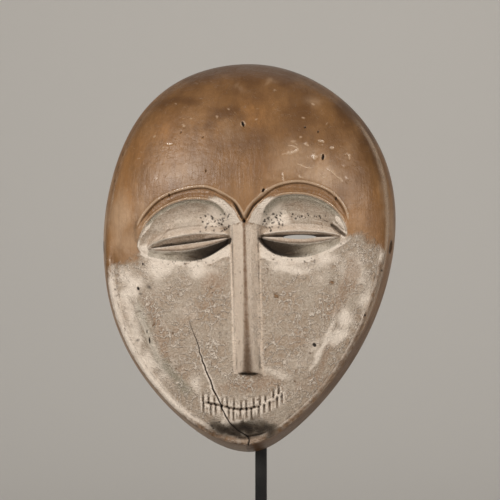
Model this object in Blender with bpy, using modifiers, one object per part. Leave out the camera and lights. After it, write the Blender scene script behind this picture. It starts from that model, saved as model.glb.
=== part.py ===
"""Carved wooden face mask, hollow behind, held up on a square steel bar with a flat foot.

The mask is worked out in its own frame, in millimetres: x to the viewer's right, z up from the
middle of its height, and a height h that runs forward from the flat back rim. The solids are
placed in metres, +Z up, with the face towards -Y and the origin under the middle of the foot.
"""

import math

import bmesh
import bpy
import numpy as np
from mathutils import Matrix, Vector

MM = 0.001

# Driving dimensions, in millimetres
MASK_HEIGHT = 220.6
CHIN_ABOVE_TABLE = 95.0
BACK_RIM_Y = 22.0
BAR_SIDE = 6.35
BAR_X = 6.4
BAR_BEND_RADIUS = 9.0
BEND_STEPS = 6
PRONG_ABOVE_MIDDLE = 46.0
CROSSBAR_LENGTH = 56.0
FOOT_SIZE = (112.0, 90.0, 12.0)
FOOT_BEVEL = 1.0
TOUCH_GAP = 0.3

HALF_HEIGHT = MASK_HEIGHT / 2
MASK_MIDDLE_Z = CHIN_ABOVE_TABLE + HALF_HEIGHT

# The egg outline: each side's half width is a taper in z / HALF_HEIGHT, times an ellipse
LEFT_TAPER = (83.2, 3.2, -1.8, 16.9)
RIGHT_TAPER = (81.5, 18.2, -2.9, 3.3, -9.6)
WALL_LEAN_LOW, WALL_LEAN_TOP = 0.046, 0.030

# Heights above the back rim at each z: the dome before carving, its front edge, and the hollow
CROWN_HEIGHT = ((-110, 33.5), (-80, 36.5), (-55, 38.8), (-25, 38.8), (0, 40.0), (10, 42.5), (20, 46.5),
                (45, 50.0), (80, 49.5), (110, 46.0))
EDGE_HEIGHT = ((-110, 27.0), (-60, 25.5), (0, 25.0), (50, 24.0), (110, 21.0))
HOLLOW_HEIGHT = ((-110, 19.0), (-80, 24.0), (-40, 27.0), (5, 25.5), (30, 31.0), (60, 38.0), (110, 35.0))
HOLLOW_REACH = 0.89
RIM_ROUNDING = 0.012
FACE_WIDTH = 80.0
CHAMFER_WIDTH = 2.8
CHANNEL_WIDTH = 11.0
CHANNEL_DEPTH = 1.5
EDGE_RUBBED = 2.2
EDGE_ROUNDING = 7.0

# The nose's crest runs up from its tip to where the brows meet, and each brow line out from there
NOSE_TIP = (2.0, -64.6)
BROW_MEETING = (0.1, 19.3)
BROW_LINES = (
    (BROW_MEETING, (-4.6, 27.6), (-12, 34.0), (-21.5, 37.9), (-34.2, 36.6), (-47.2, 31.7), (-56.5, 22.9),
     (-61.8, 13.5)),
    (BROW_MEETING, (4.1, 26.6), (8.7, 31.5), (17.6, 38.1), (29.4, 40.7), (40, 38.9), (49.2, 34.3),
     (55.7, 26.2), (58.3, 16)),
)
NOSE_HEIGHTS = (45.6, 44.5)
NOSE_CREST_ROUNDING = 1.3
BROW_STEP = 1.9
BROW_MEETING_GROOVE = 2.2
# At distances along a brow line from the brows' meeting, negative down the nose: the slope of the
# band below the line, and the band's width, which runs on into the socket beside the nose's top
BAND_SLOPES = ((-84, 1.62), (0, 0.95), (8, 0.75), (16, 0.3), (28, -0.08), (90, -0.08))
BAND_WIDTHS = ((-84, 5.7), (-12.5, 7.6), (-11.5, 20.0), (20, 28.0), (50, 24.0), (66, 12.0), (80, 6.0))

# The outlines of the eye sockets, and of the soft edge down each cheek
SOCKETS = (
    ((-7.5, 7.5), (-7.8, 13), (-8.6, 19), (-12, 26.3), (-18.1, 30.2), (-29.7, 31.4), (-40.8, 28.7),
     (-50.5, 23), (-57.5, 14.6), (-60.5, 6), (-57.5, 1.2), (-50.5, -1), (-40.9, -2.7), (-30.8, -3.2),
     (-22.4, -1.6), (-14, 2.9)),
    ((7.6, 8.5), (7.9, 14), (9.5, 22), (13, 28.6), (20.6, 33.3), (34, 33.7), (45.5, 29.5), (53.3, 22.2),
     (57.2, 13.4), (54, 7.7), (46.3, 3.3), (37.3, -0.1), (29.5, -1.1), (22.3, -0.6), (15, 1.7)),
)
SOCKET_FLOOR = 31.6
SOCKET_FLOOR_RISE = 0.05
SOCKET_SLOPE_UNDER_BROW = 12.0
SOCKET_SLOPE_AT_CHEEK = 1.5
CORNER_DEPTH = 3.2
# Towards the ear the socket is shallower: its depth there, and where across the face that sets in
SHALLOW_SOCKET = 2.6
SOCKET_FADE = (18.0, 40.0)
CREASE_DROP = 1.0
CREASE_RISE = 4.0
CREASE_WIDTH = 14.0
CHEEK_CREASES = (
    ((-65.9, -3.1), (-60.2, -27.2), (-50.6, -55.1), (-35.4, -81.3)),
    ((57.5, 2), (53.9, -19), (44.4, -49.6), (28.3, -74.6)),
)

# Eyes: middle x and z, half length, tilt in degrees, and how far the parting reaches up
EYES = ((-31.4, 7.45, 23.8, 7.9, 3.9), (30.3, 10.9, 22.9, 0.0, 2.7))
UPPER_LID_REACH = 14.0
LOWER_LID_REACH = 3.6
LID_RISE = 5.4
LID_UNDERSIDE_SLOPE = 1.15
LID_BLEND = 3.0
PARTING_DEPTH = 3.6
PARTING_LOWER_WIDTH = 1.0

# The slots that pierce the parting: length, height, and slant downwards to the back, in degrees
EYE_SLOTS = ((20.0, 1.5, 24.0), (19.0, 2.7, 0.0))
EYE_SLOT_RISE = (0.1, -0.2)
PARTING_HEIGHT = 34.0
EYE_CUTTER_LENGTH = 40.0
CORD_HOLE_DIAMETER = 7.0
CORD_HOLE_PLACE = (15.0, 5.5)
WALL_MIDDLE_X = 75.0
CORD_CUTTER_LENGTH = 50.0

# The mouth line, and its strokes: count, first and last x, and length, above and below the line
MOUTH_LINE = ((-25, -81.3), (-15.6, -83), (-5.1, -85.3), (3.8, -84.6), (13.8, -80.7), (21.6, -75.1))
STROKES_ABOVE = (13, -24.2, 18.8, 5.2)
STROKES_BELOW = (14, -23.3, 20.6, 6.2)
STROKE_HALF_WIDTH = 0.9
STROKE_DEPTH = 1.7
MOUTH_CUT = (2.0, 1.1)
LIP_RISE = (0.6, 1.3)
MUZZLE_RISE = 1.4
MUZZLE_MIDDLE_Z = -82.0
MUZZLE_SPREAD = (24.0, 9.0)
CHIN_GROOVE = ((-14.5, -95.2), (-10.2, -98.6), (-3, -101.2), (5, -100.4), (13.6, -97))
CHIN_GROOVE_DEPTH = 4.8

SPOKES = 240
RINGS = 30
FIRST_RINGS = (0.7, 2.8)
WALL_RINGS = (0.75, 0.45, 0.12)
HOLLOW_RINGS = 22
BASE_EDGE = 2.6
FINE_EDGE = 0.35
FACET_BUDGET = 8600

FINISHES = {
    "mask_wood": ((0.42, 0.27, 0.14), 0.5, 0.0),
    "black_steel": ((0.02, 0.02, 0.022), 0.45, 0.3),
}


def clear_scene():
    for obj in list(bpy.data.objects):
        bpy.data.objects.remove(obj, do_unlink=True)


def finish(name):
    colour, roughness, metallic = FINISHES[name]
    material = bpy.data.materials.new(name)
    material.use_nodes = True
    shader = material.node_tree.nodes["Principled BSDF"]
    shader.inputs["Base Color"].default_value = (*colour, 1.0)
    shader.inputs["Roughness"].default_value = roughness
    shader.inputs["Metallic"].default_value = metallic
    return material


def ease(low, high, value):
    """0 up to low, 1 from high on, with a smooth rise between them; low may be the larger."""
    share = np.clip((value - low) / (high - low), 0.0, 1.0)
    return share * share * (3.0 - 2.0 * share)


def peak(distance, width):
    """A sharp ridge of height 1 at distance 0, down to 0 at the width."""
    return np.clip(1.0 - np.abs(distance) / width, 0.0, 1.0)


def table(pairs, value):
    places, heights = np.array(pairs, float).T
    return np.interp(value, places, heights)


def smooth_curve(points, closed=False, steps=6):
    """A Catmull-Rom curve through the points, as an array of close points."""
    points = np.array(points, float)
    if closed:
        padded = np.vstack([points[-1:], points, points[:2]])
    else:
        padded = np.vstack([2 * points[0] - points[1], points, 2 * points[-1] - points[-2]])
    share = np.linspace(0.0, 1.0, steps, endpoint=False)[:, None]
    spans = []
    for a, b, c, d in zip(padded, padded[1:], padded[2:], padded[3:]):
        bend = 2 * a - 5 * b + 4 * c - d
        twist = 3 * b - a - 3 * c + d
        spans.append(0.5 * (2 * b + (c - a) * share + bend * share**2 + twist * share**3))
    spans.append(padded[-2:-1])
    return np.vstack(spans)


def smooth_table(pairs, value):
    """The height that a table of (place, height) gives at each value, on a smooth curve."""
    curve = smooth_curve(pairs)
    return np.interp(value, curve[:, 0], curve[:, 1])


def distance_to(curve, x, z):
    """Each point's distance to the curve, negative on its right, and how far along it is nearest."""
    nearest = np.full(x.shape, np.inf)
    signed = np.zeros(x.shape)
    along = np.zeros(x.shape)
    runs = np.diff(curve, axis=0)
    lengths = np.hypot(*runs.T)
    starts = np.concatenate([[0.0], np.cumsum(lengths)])
    for (ax, az), (dx, dz), start, length in zip(curve, runs, starts, lengths):
        share = np.clip(((x - ax) * dx + (z - az) * dz) / length**2, 0.0, 1.0)
        gap = np.hypot(x - ax - share * dx, z - az - share * dz)
        closer = gap < nearest
        nearest = np.where(closer, gap, nearest)
        signed = np.where(closer, gap * np.sign(dx * (z - az) - dz * (x - ax)), signed)
        along = np.where(closer, start + share * length, along)
    return signed, along


def curve_length(curve):
    return np.hypot(*np.diff(curve, axis=0).T).sum()


def fade_ends(along, length, share):
    """1 over the middle of a curve, falling to 0 at its ends over this share of its length."""
    return ease(0.0, share * length, along) * ease(length, (1.0 - share) * length, along)


def half_width(x, z):
    """The outline's taper on the side of the mask where each point lies."""
    share = z / HALF_HEIGHT
    left = np.polyval(LEFT_TAPER[::-1], share)
    right = np.polyval(RIGHT_TAPER[::-1], share)
    return np.where(x < 0, left, right)


def place_on_egg(u, v):
    """Turns points of the unit disc into points of the outline's egg."""
    z = HALF_HEIGHT * v
    return u * half_width(u, z), z


def reach(x, z):
    """0 at the middle of the egg and 1 on its outline."""
    return np.hypot(x / half_width(x, z), z / HALF_HEIGHT)


def edge_reach(z):
    """The reach of the front edge, which the leaning side wall draws in from the outline."""
    return 1.0 - WALL_LEAN_LOW + (WALL_LEAN_LOW - WALL_LEAN_TOP) * ease(10, 80, z)


def inward_of_edge(x, z):
    """About how many millimetres each point lies inside the front edge."""
    return (1.0 - reach(x, z) / edge_reach(z)) * FACE_WIDTH


def edge_drop(z):
    """How far the front edge is rubbed down over the forehead, where no chamfer marks it."""
    return EDGE_RUBBED * ease(5.0, 45.0, z)


def edge_height(z):
    return smooth_table(EDGE_HEIGHT, z) - edge_drop(z)


def uncarved_front(x, z):
    """The dome that the face is carved into, with a chamfer and a shallow channel round the cheeks."""
    edge = smooth_table(EDGE_HEIGHT, z)
    crown = smooth_table(CROWN_HEIGHT, z)
    share = np.clip(reach(x, z) / edge_reach(z), 0.0, 1.0)
    height = edge + (crown - edge) * (1.0 - share**2.4) ** 0.64
    inward = (1.0 - share) * FACE_WIDTH - CHAMFER_WIDTH
    channel = np.clip(inward / 0.7, 0.0, 1.0) * np.clip(1.0 - inward / CHANNEL_WIDTH, 0.0, 1.0) ** 1.5
    return height - CHANNEL_DEPTH * channel * ease(12, -10, z)


def ridge_lines():
    """The two lines that run up the crest of the nose, then out along a brow."""
    for points in BROW_LINES:
        yield np.vstack([[NOSE_TIP], smooth_curve(points)])


def shape_bands(height, x, z):
    """The nose and brow bands: on each side one band that falls away from a ridge line."""
    uncarved = height
    nose_length = math.dist(NOSE_TIP, BROW_MEETING)
    for curve, side in zip(ridge_lines(), (1, -1)):
        signed, along = distance_to(curve, x, z)
        inward = signed * side
        past_meeting = along - nose_length
        tip_height, top_height = NOSE_HEIGHTS
        crest = tip_height + (top_height - tip_height) * np.clip(along / nose_length, 0.0, 1.0)
        on_brow = ease(-1.0, 5.0, past_meeting)
        ridge = crest + (uncarved - BROW_STEP - crest) * on_brow
        fall = np.hypot(inward, NOSE_CREST_ROUNDING) - NOSE_CREST_ROUNDING
        band = np.maximum(ridge - table(BAND_SLOPES, past_meeting) * fall, SOCKET_FLOOR + 1.0)
        width = table(BAND_WIDTHS, past_meeting)
        starts = np.where(past_meeting < 0.0, inward >= 0.0, ease(0.0, 0.9, inward))
        ends = ease(width + 0.5, width - 0.2, inward) * ease(NOSE_TIP[1] - 1.0, NOSE_TIP[1] + 0.3, z)
        ends = ends * ease(curve_length(curve), curve_length(curve) - 12.0, along)
        height = height + (band - height) * starts * ends
        groove = peak(inward, 1.1) * ease(28.0, 8.0, past_meeting) * ease(-1.5, 0.5, past_meeting)
        height = height - BROW_MEETING_GROOVE * groove
    return height


def sink_sockets(height, x, z):
    """Sinks each eye socket to its floor: a long slope under the brow, a short one over the cheek."""
    for points, eye, side in zip(SOCKETS, EYES, (1, -1)):
        signed, _ = distance_to(smooth_curve(points, closed=True), x, z)
        inward = np.clip(signed * side, 0.0, None)
        up = z - eye[1]
        beside_nose = ease(22.0, 12.0, np.abs(x))
        under_brow = ease(2.0 - 3.0 * beside_nose, 12.0 - 5.0 * beside_nose, up)
        towards_ear = ease(*SOCKET_FADE, np.abs(x))
        at_cheek = SOCKET_SLOPE_AT_CHEEK * (1.0 + 1.5 * towards_ear)
        slope_width = at_cheek + (SOCKET_SLOPE_UNDER_BROW - at_cheek) * under_brow
        sunk = 1.0 - (1.0 - np.clip(inward / slope_width, 0.0, 1.0)) ** (1.0 + under_brow)
        corner = ease(-0.5, -6.0, up) * ease(52.0, 22.0, np.abs(x))
        floor = SOCKET_FLOOR + SOCKET_FLOOR_RISE * np.abs(x) - CORNER_DEPTH * corner
        shallow = (height - SHALLOW_SOCKET - floor) * towards_ear * ease(3.0, -3.0, up)
        floor = floor + np.clip(shallow, 0.0, None)
        height = height + (np.minimum(floor, height) - height) * sunk
    return height


def raise_eyelids(height, x, z):
    """The almond lids of each eye, with the parting between them cut back under the upper lid."""
    for middle_x, middle_z, half_length, tilt, parting in EYES:
        turn = math.radians(tilt)
        across = (x - middle_x) * math.cos(turn) + (z - middle_z) * math.sin(turn)
        up = (z - middle_z) * math.cos(turn) - (x - middle_x) * math.sin(turn)
        lens = np.clip(1.0 - (across / half_length) ** 2, 0.0, 1.0)
        upper_edge = parting * lens
        crease = UPPER_LID_REACH * lens**0.8 + 1e-6
        rise = LID_RISE * lens**0.5
        upper = rise * np.clip((crease - up) / (crease - upper_edge), 0.0, 1.0) ** 0.9
        under = rise - LID_UNDERSIDE_SLOPE * np.clip(-up - LOWER_LID_REACH * lens, 0.0, None)
        lid = SOCKET_FLOOR + SOCKET_FLOOR_RISE * np.abs(x) + np.where(up > 0.0, upper, under)
        soft = LID_BLEND * ease(-0.3 * half_length, 0.6 * half_length, -across * np.sign(middle_x)) + 0.4
        overlap = np.clip(1.0 - np.abs(height - lid) / soft, 0.0, 1.0)
        blended = np.maximum(height, lid) + 0.25 * soft * overlap**2 * (up > 0.0)
        raised = np.where((lens > 0.0) & (up < crease), blended, height)
        above = np.clip((upper_edge - up) / (upper_edge + 1e-6), 0.0, 1.0)
        below = np.clip(1.0 + up / (PARTING_LOWER_WIDTH * lens + 1e-6), 0.0, 1.0)
        height = raised - PARTING_DEPTH * lens**0.5 * np.where(up > 0.0, above, below)
    return height


def crease_cheeks(height, x, z):
    """The soft edge down each cheek, outside which the face falls a little lower."""
    for points, side in zip(CHEEK_CREASES, (-1, 1)):
        curve = smooth_curve(points)
        signed, along = distance_to(curve, x, z)
        outward = signed * side
        drop = ease(-1.0, CREASE_RISE, outward) * ease(CREASE_WIDTH, CREASE_RISE, outward)
        height = height - CREASE_DROP * drop * fade_ends(along, curve_length(curve), 0.3)
    return height


def mouth_strokes():
    """Each gouge of the mouth as (x, z near the mouth line, z at its far end)."""
    curve = smooth_curve(MOUTH_LINE)
    for (count, first, last, length), way in ((STROKES_ABOVE, 1.0), (STROKES_BELOW, -1.0)):
        for number, even_x in enumerate(np.linspace(first, last, count)):
            x = even_x + 0.45 * math.sin(2.3 * number + way)
            mouth_z = np.interp(x, curve[:, 0], curve[:, 1])
            yield x, mouth_z + 0.6 * way, mouth_z + way * length * (0.92 + 0.14 * math.sin(1.7 * number))


def cut_mouth(height, x, z):
    """The mouth: a curved cut that turns to a raised lip on the right, crossed by short gouges."""
    spread_x, spread_z = MUZZLE_SPREAD
    height = height + MUZZLE_RISE * np.exp(-((x / spread_x) ** 2) - ((z - MUZZLE_MIDDLE_Z) / spread_z) ** 2)
    curve = smooth_curve(MOUTH_LINE)
    length = curve_length(curve)
    gap, along = distance_to(curve, x, z)
    ends = fade_ends(along, length, 0.1)
    open_cut = ease(0.75 * length, 0.6 * length, along)
    height = height - MOUTH_CUT[0] * ends * open_cut * peak(gap, MOUTH_CUT[1])
    height = height + LIP_RISE[0] * ends * (1.0 - open_cut) * peak(gap, LIP_RISE[1])
    for stroke_x, near_z, far_z in mouth_strokes():
        share = np.clip((z - near_z) / (far_z - near_z), 0.0, 1.0)
        gap = np.hypot(x - stroke_x, z - (near_z + share * (far_z - near_z)))
        height = height - STROKE_DEPTH * (1.0 - 0.45 * share) * peak(gap, STROKE_HALF_WIDTH)
    return height


def cut_chin(height, x, z):
    """The crescent cut under the mouth: the chin rolls down into it and the rim stands as a lip."""
    curve = smooth_curve(CHIN_GROOVE)
    gap, along = distance_to(curve, x, z)
    roll = 0.55 * np.exp(-((gap / 5.5) ** 2)) + 0.45 * peak(gap, 1.6)
    profile = np.where(gap > 0.0, roll, peak(gap, 1.4))
    return height - CHIN_GROOVE_DEPTH * fade_ends(along, curve_length(curve), 0.33) * profile


def carved_front(x, z):
    """The height of the carved face at each point."""
    height = uncarved_front(x, z)
    height = crease_cheeks(height, x, z)
    height = shape_bands(height, x, z)
    height = sink_sockets(height, x, z)
    height = raise_eyelids(height, x, z)
    height = cut_mouth(height, x, z)
    height = cut_chin(height, x, z)
    return height - edge_drop(z) * np.clip(1.0 - inward_of_edge(x, z) / EDGE_ROUNDING, 0.0, 1.0) ** 2


def wall_reach(share, z):
    """The side wall's reach at this share of its height: straight below, rounded over the forehead."""
    bend = 1.4 + 2.0 * ease(-10.0, 40.0, z)
    return 1.0 - (1.0 - edge_reach(z)) * share**bend


def hollow_back(x, z):
    """The height of the hollow behind the face."""
    share = np.clip(reach(x, z) / HOLLOW_REACH, 0.0, 1.0)
    return smooth_table(HOLLOW_HEIGHT, z) * (1.0 - share**4) ** 0.55


def place_at_reach(share, x, z):
    """Moves points along their own spoke of the egg, to this reach."""
    scale = share / reach(x, z)
    return x / half_width(x, z) * scale * half_width(x, z * scale), z * scale


def wanted_length(x, z):
    """How long a mesh edge may be at each point of the face, for the carving there."""
    length = np.full(x.shape, BASE_EDGE)

    def need(edge, where):
        np.minimum(length, np.where(where, edge, BASE_EDGE), out=length)

    for curve, side in zip(ridge_lines(), (1, -1)):
        gap, _ = distance_to(curve, x, z)
        need(FINE_EDGE * 2, (gap * side > -2.0) & (gap * side < 8.5))
        need(FINE_EDGE, np.abs(gap) < 1.2)
    for points in SOCKETS:
        gap, _ = distance_to(smooth_curve(points, closed=True), x, z)
        need(FINE_EDGE * 2, np.abs(gap) < 4.0)
        need(FINE_EDGE, np.abs(gap) < 1.5)
    for middle_x, middle_z, half_length, *_ in EYES:
        need(FINE_EDGE * 2, np.hypot((x - middle_x) / half_length, (z - middle_z) / 16.0) < 1.0)
        need(FINE_EDGE, np.hypot((x - middle_x) / half_length, (z - middle_z) / 5.0) < 1.0)
    need(FINE_EDGE, np.abs(distance_to(smooth_curve(MOUTH_LINE), x, z)[0]) < 7.5)
    need(FINE_EDGE * 2, np.abs(distance_to(smooth_curve(CHIN_GROOVE), x, z)[0]) < 5.0)
    return length


def coordinates(verts):
    return np.array([vert.co[:] for vert in verts])


def set_coordinates(verts, x, y, z):
    for vert, place in zip(verts, np.column_stack([x, y, z]).tolist()):
        vert.co = place


def carry_border(bm, border, share_at, height_at):
    """Extrudes the open border to the reach and the height that the two functions give."""
    made = bmesh.ops.extrude_edge_only(bm, edges=border)["geom"]
    verts = [item for item in made if isinstance(item, bmesh.types.BMVert)]
    x, _, z = coordinates(verts).T
    new_x, new_z = place_at_reach(share_at(z), x, z)
    set_coordinates(verts, new_x, -height_at(new_x, new_z), new_z)
    return [item for item in made if isinstance(item, bmesh.types.BMEdge)]


def close_border(bm, border):
    """Fills the last ring with a fan about its middle."""
    faces = bmesh.ops.contextual_create(bm, geom=border)["faces"]
    bmesh.ops.poke(bm, faces=faces)


def settle_order(bm):
    """Sorts the mesh's elements by place, because extruding leaves them in no fixed order."""

    def rank(x, y, z):
        return round(z * 1e3) * 1e8 + round(x * 1e3) * 10 + y * 0.1

    set_coordinates(bm.verts, *np.round(coordinates(bm.verts), 3).T)
    bm.verts.sort(key=lambda vert: rank(*vert.co))
    bm.edges.sort(key=lambda edge: rank(*(edge.verts[0].co + edge.verts[1].co)))
    bm.faces.sort(key=lambda face: rank(*face.calc_center_median()))


def flat_face(bm):
    """The face's egg, laid flat in rings, with shorter edges where the carving is fine."""
    made = bmesh.ops.create_circle(bm, cap_ends=False, segments=SPOKES, radius=1.0)
    u, v, _ = coordinates(made["verts"]).T
    x, z = place_on_egg(u, v)
    x, z = place_at_reach(edge_reach(z), x, z)
    set_coordinates(made["verts"], x, 0.0 * x, z)
    border = bm.edges[:]
    first, second = FIRST_RINGS
    inwards = [0.0, first, *np.linspace(second, FACE_WIDTH - CHAMFER_WIDTH - 2.0, RINGS)]
    for inward in CHAMFER_WIDTH + np.array(inwards):
        share = 1.0 - inward / FACE_WIDTH
        border = carry_border(bm, border, lambda z: share * edge_reach(z), lambda x, z: 0.0 * x)
    close_border(bm, border)
    settle_order(bm)
    for _ in range(4):
        edges = bm.edges[:]
        starts = coordinates(edge.verts[0] for edge in edges)
        ends = coordinates(edge.verts[1] for edge in edges)
        middle = (starts + ends) / 2
        too_long = np.linalg.norm(ends - starts, axis=1) > 1.4 * wanted_length(middle[:, 0], middle[:, 2])
        long_edges = [edge for edge, chosen in zip(edges, too_long) if chosen]
        bmesh.ops.subdivide_edges(bm, edges=long_edges, cuts=1, use_grid_fill=True)
    bmesh.ops.triangulate(bm, faces=bm.faces[:])


def mask_mesh():
    """The closed mesh of the mask, in millimetres about its own middle."""
    bm = bmesh.new()
    flat_face(bm)
    front = bm.verts[:]
    x, _, z = coordinates(front).T
    set_coordinates(front, x, -carved_front(x, z), z)
    border = [edge for edge in bm.edges if edge.is_boundary]

    def carry_wall(reach_at, share):
        return carry_border(bm, border, reach_at, lambda x, z: share * edge_height(z))

    for share in WALL_RINGS:
        border = carry_wall(lambda z: wall_reach(share, z), share)
    for reach_share, share in ((1.0, 0.05), (1.0 - RIM_ROUNDING, 0.0), (HOLLOW_REACH + RIM_ROUNDING, 0.0)):
        border = carry_wall(lambda z: reach_share, share)
    for ring in range(HOLLOW_RINGS):
        share = HOLLOW_REACH * math.cos(math.pi / 2 * ring / HOLLOW_RINGS)
        border = carry_border(bm, border, lambda z: share, hollow_back)
    close_border(bm, border)
    bmesh.ops.triangulate(bm, faces=bm.faces[:])
    settle_order(bm)
    for face in bm.faces:
        face.smooth = True
    return place_on_stand(bm, "mask")


def place_on_stand(bm, name):
    """Writes the mesh out, moved from the mask's own millimetres to metres on the stand."""
    bm.normal_update()
    bmesh.ops.recalc_face_normals(bm, faces=bm.faces[:])
    x, y, z = coordinates(bm.verts).T
    set_coordinates(bm.verts, x * MM, (BACK_RIM_Y + y) * MM, (MASK_MIDDLE_Z + z) * MM)
    return new_mesh(bm, name)


def eye_slot(number):
    """A lens-shaped prism that pierces the wall in the parting of one eye."""
    middle_x, middle_z, _, tilt, _ = EYES[number]
    length, height, slant = EYE_SLOTS[number]
    bm = bmesh.new()
    bmesh.ops.create_cone(bm, cap_ends=True, segments=20, radius1=1.0, radius2=1.0,
                          depth=EYE_CUTTER_LENGTH)
    across, up, depth = coordinates(bm.verts).T
    # The slanted slot keeps its height where it meets the lids' parting.
    x = middle_x + across * length / 2
    z = middle_z + EYE_SLOT_RISE[number] + up * height / 2
    z = z + (x - middle_x) * math.tan(math.radians(tilt)) + depth * math.tan(math.radians(slant))
    set_coordinates(bm.verts, x, -PARTING_HEIGHT - depth, z)
    return place_on_stand(bm, f"eye_slot_{number}")


def cord_hole(side):
    """A cylinder through the side wall at ear level."""
    height, z = CORD_HOLE_PLACE
    bm = bmesh.new()
    radius = CORD_HOLE_DIAMETER / 2
    bmesh.ops.create_cone(bm, cap_ends=True, segments=16, radius1=radius, radius2=radius,
                          depth=CORD_CUTTER_LENGTH)
    across, up, depth = coordinates(bm.verts).T
    set_coordinates(bm.verts, side * (WALL_MIDDLE_X + depth), -height + across, z + up)
    return place_on_stand(bm, "cord_hole_left" if side < 0 else "cord_hole_right")


def add_object(mesh, collection, material):
    obj = bpy.data.objects.new(mesh.name, mesh)
    collection.objects.link(obj)
    mesh.materials.append(material)
    return obj


def add_boolean(obj, mesh, collection, operation):
    """Cuts the mesh out of the object or joins it on, and keeps it as an object in the collection."""
    tool = bpy.data.objects.new(mesh.name, mesh)
    collection.objects.link(tool)
    tool.hide_render = True
    tool.display_type = "WIRE"
    boolean = obj.modifiers.new(mesh.name, "BOOLEAN")
    boolean.operation = operation
    boolean.object = tool


def build_mask(collection, cutters):
    mesh = mask_mesh()
    mask = add_object(mesh, collection, finish("mask_wood"))
    facets = mask.modifiers.new("facets", "DECIMATE")
    facets.ratio = FACET_BUDGET / len(mesh.polygons)
    for number in range(len(EYES)):
        add_boolean(mask, eye_slot(number), cutters, "DIFFERENCE")
    for side in (-1, 1):
        add_boolean(mask, cord_hole(side), cutters, "DIFFERENCE")


def new_mesh(bm, name):
    mesh = bpy.data.meshes.new(name)
    bm.to_mesh(mesh)
    bm.free()
    return mesh


def block_mesh(name, middle, size):
    bm = bmesh.new()
    bmesh.ops.create_cube(bm, size=1.0)
    bmesh.ops.scale(bm, vec=size, verts=bm.verts)
    bmesh.ops.translate(bm, vec=middle, verts=bm.verts)
    return new_mesh(bm, name)


def carry_faces(bm, faces):
    """Extrudes the end faces of a bar in place, and returns the new ones and their points."""
    made = bmesh.ops.extrude_face_region(bm, geom=faces)["geom"]
    bmesh.ops.delete(bm, geom=faces, context="FACES_ONLY")
    faces = [item for item in made if isinstance(item, bmesh.types.BMFace)]
    return faces, [item for item in made if isinstance(item, bmesh.types.BMVert)]


def bent_bar_mesh(foot, bend_radius, elbow, tip_y):
    """A square bar that rises from its foot, bends forward at the elbow and ends at tip_y."""
    side = BAR_SIDE * MM
    bm = bmesh.new()
    bmesh.ops.create_grid(bm, x_segments=1, y_segments=1, size=side / 2)
    bmesh.ops.translate(bm, vec=foot, verts=bm.verts)
    faces, verts = carry_faces(bm, bm.faces[:])
    bmesh.ops.translate(bm, vec=(0, 0, elbow.z - bend_radius - foot.z), verts=verts)
    centre = elbow - Vector((0, bend_radius, bend_radius))
    turn = Matrix.Rotation(math.pi / 2 / BEND_STEPS, 3, "X")
    for _ in range(BEND_STEPS):
        faces, verts = carry_faces(bm, faces)
        bmesh.ops.rotate(bm, cent=centre, matrix=turn, verts=verts)
    _, verts = carry_faces(bm, faces)
    bmesh.ops.translate(bm, vec=(0, tip_y - centre.y, 0), verts=verts)
    bmesh.ops.holes_fill(bm, edges=[edge for edge in bm.edges if edge.is_boundary])
    bm.normal_update()
    bmesh.ops.recalc_face_normals(bm, faces=bm.faces[:])
    return new_mesh(bm, "stand_rod")


def build_stand(collection, cutters):
    """The square bar behind the mask, bent forward to a crossbar inside the forehead, and its foot."""
    steel = finish("black_steel")
    side = BAR_SIDE * MM
    foot_top = FOOT_SIZE[2] * MM
    elbow = Vector((BAR_X, BACK_RIM_Y + TOUCH_GAP + BAR_SIDE / 2, MASK_MIDDLE_Z + PRONG_ABOVE_MIDDLE)) * MM
    crossbar_y = (BACK_RIM_Y - hollow_at_crossbar()) * MM + side / 2
    foot_point = Vector((elbow.x, elbow.y, foot_top + TOUCH_GAP * MM))
    rod = add_object(bent_bar_mesh(foot_point, BAR_BEND_RADIUS * MM, elbow, crossbar_y), collection, steel)
    crossbar = block_mesh("crossbar", (elbow.x, crossbar_y, elbow.z), (CROSSBAR_LENGTH * MM, side, side))
    add_boolean(rod, crossbar, cutters, "UNION")
    foot_mesh = block_mesh("stand_foot", (0, 0, foot_top / 2), [size * MM for size in FOOT_SIZE])
    edges = add_object(foot_mesh, collection, steel).modifiers.new("edges", "BEVEL")
    edges.width = FOOT_BEVEL * MM
    edges.segments = 2


def hollow_at_crossbar():
    """The lowest height of the hollow along the crossbar's upper and lower edges, in millimetres."""
    x = BAR_X + CROSSBAR_LENGTH / 2 * np.array([-1.0, -1.0, 1.0, 1.0, 0.0, 0.0])
    z = PRONG_ABOVE_MIDDLE + BAR_SIDE / 2 * np.array([-1.0, 1.0, -1.0, 1.0, -1.0, 1.0])
    return float(hollow_back(x, z).min()) - TOUCH_GAP * 2


def main():
    clear_scene()
    collection = bpy.data.collections.new("mask on stand")
    cutters = bpy.data.collections.new("cutters")
    bpy.context.scene.collection.children.link(collection)
    bpy.context.scene.collection.children.link(cutters)
    build_mask(collection, cutters)
    build_stand(collection, cutters)


main()
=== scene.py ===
"""Dresses the carved face mask on its steel stand: the fine carving, the worn wood and clay, the stage.

The mask is worked out in its own frame, in millimetres: x to the viewer's right, z up from the
middle of its height, and a height h that runs forward from the flat back rim.
"""

import math

import bmesh
import bpy
import numpy as np
from mathutils import Matrix, Vector


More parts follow.
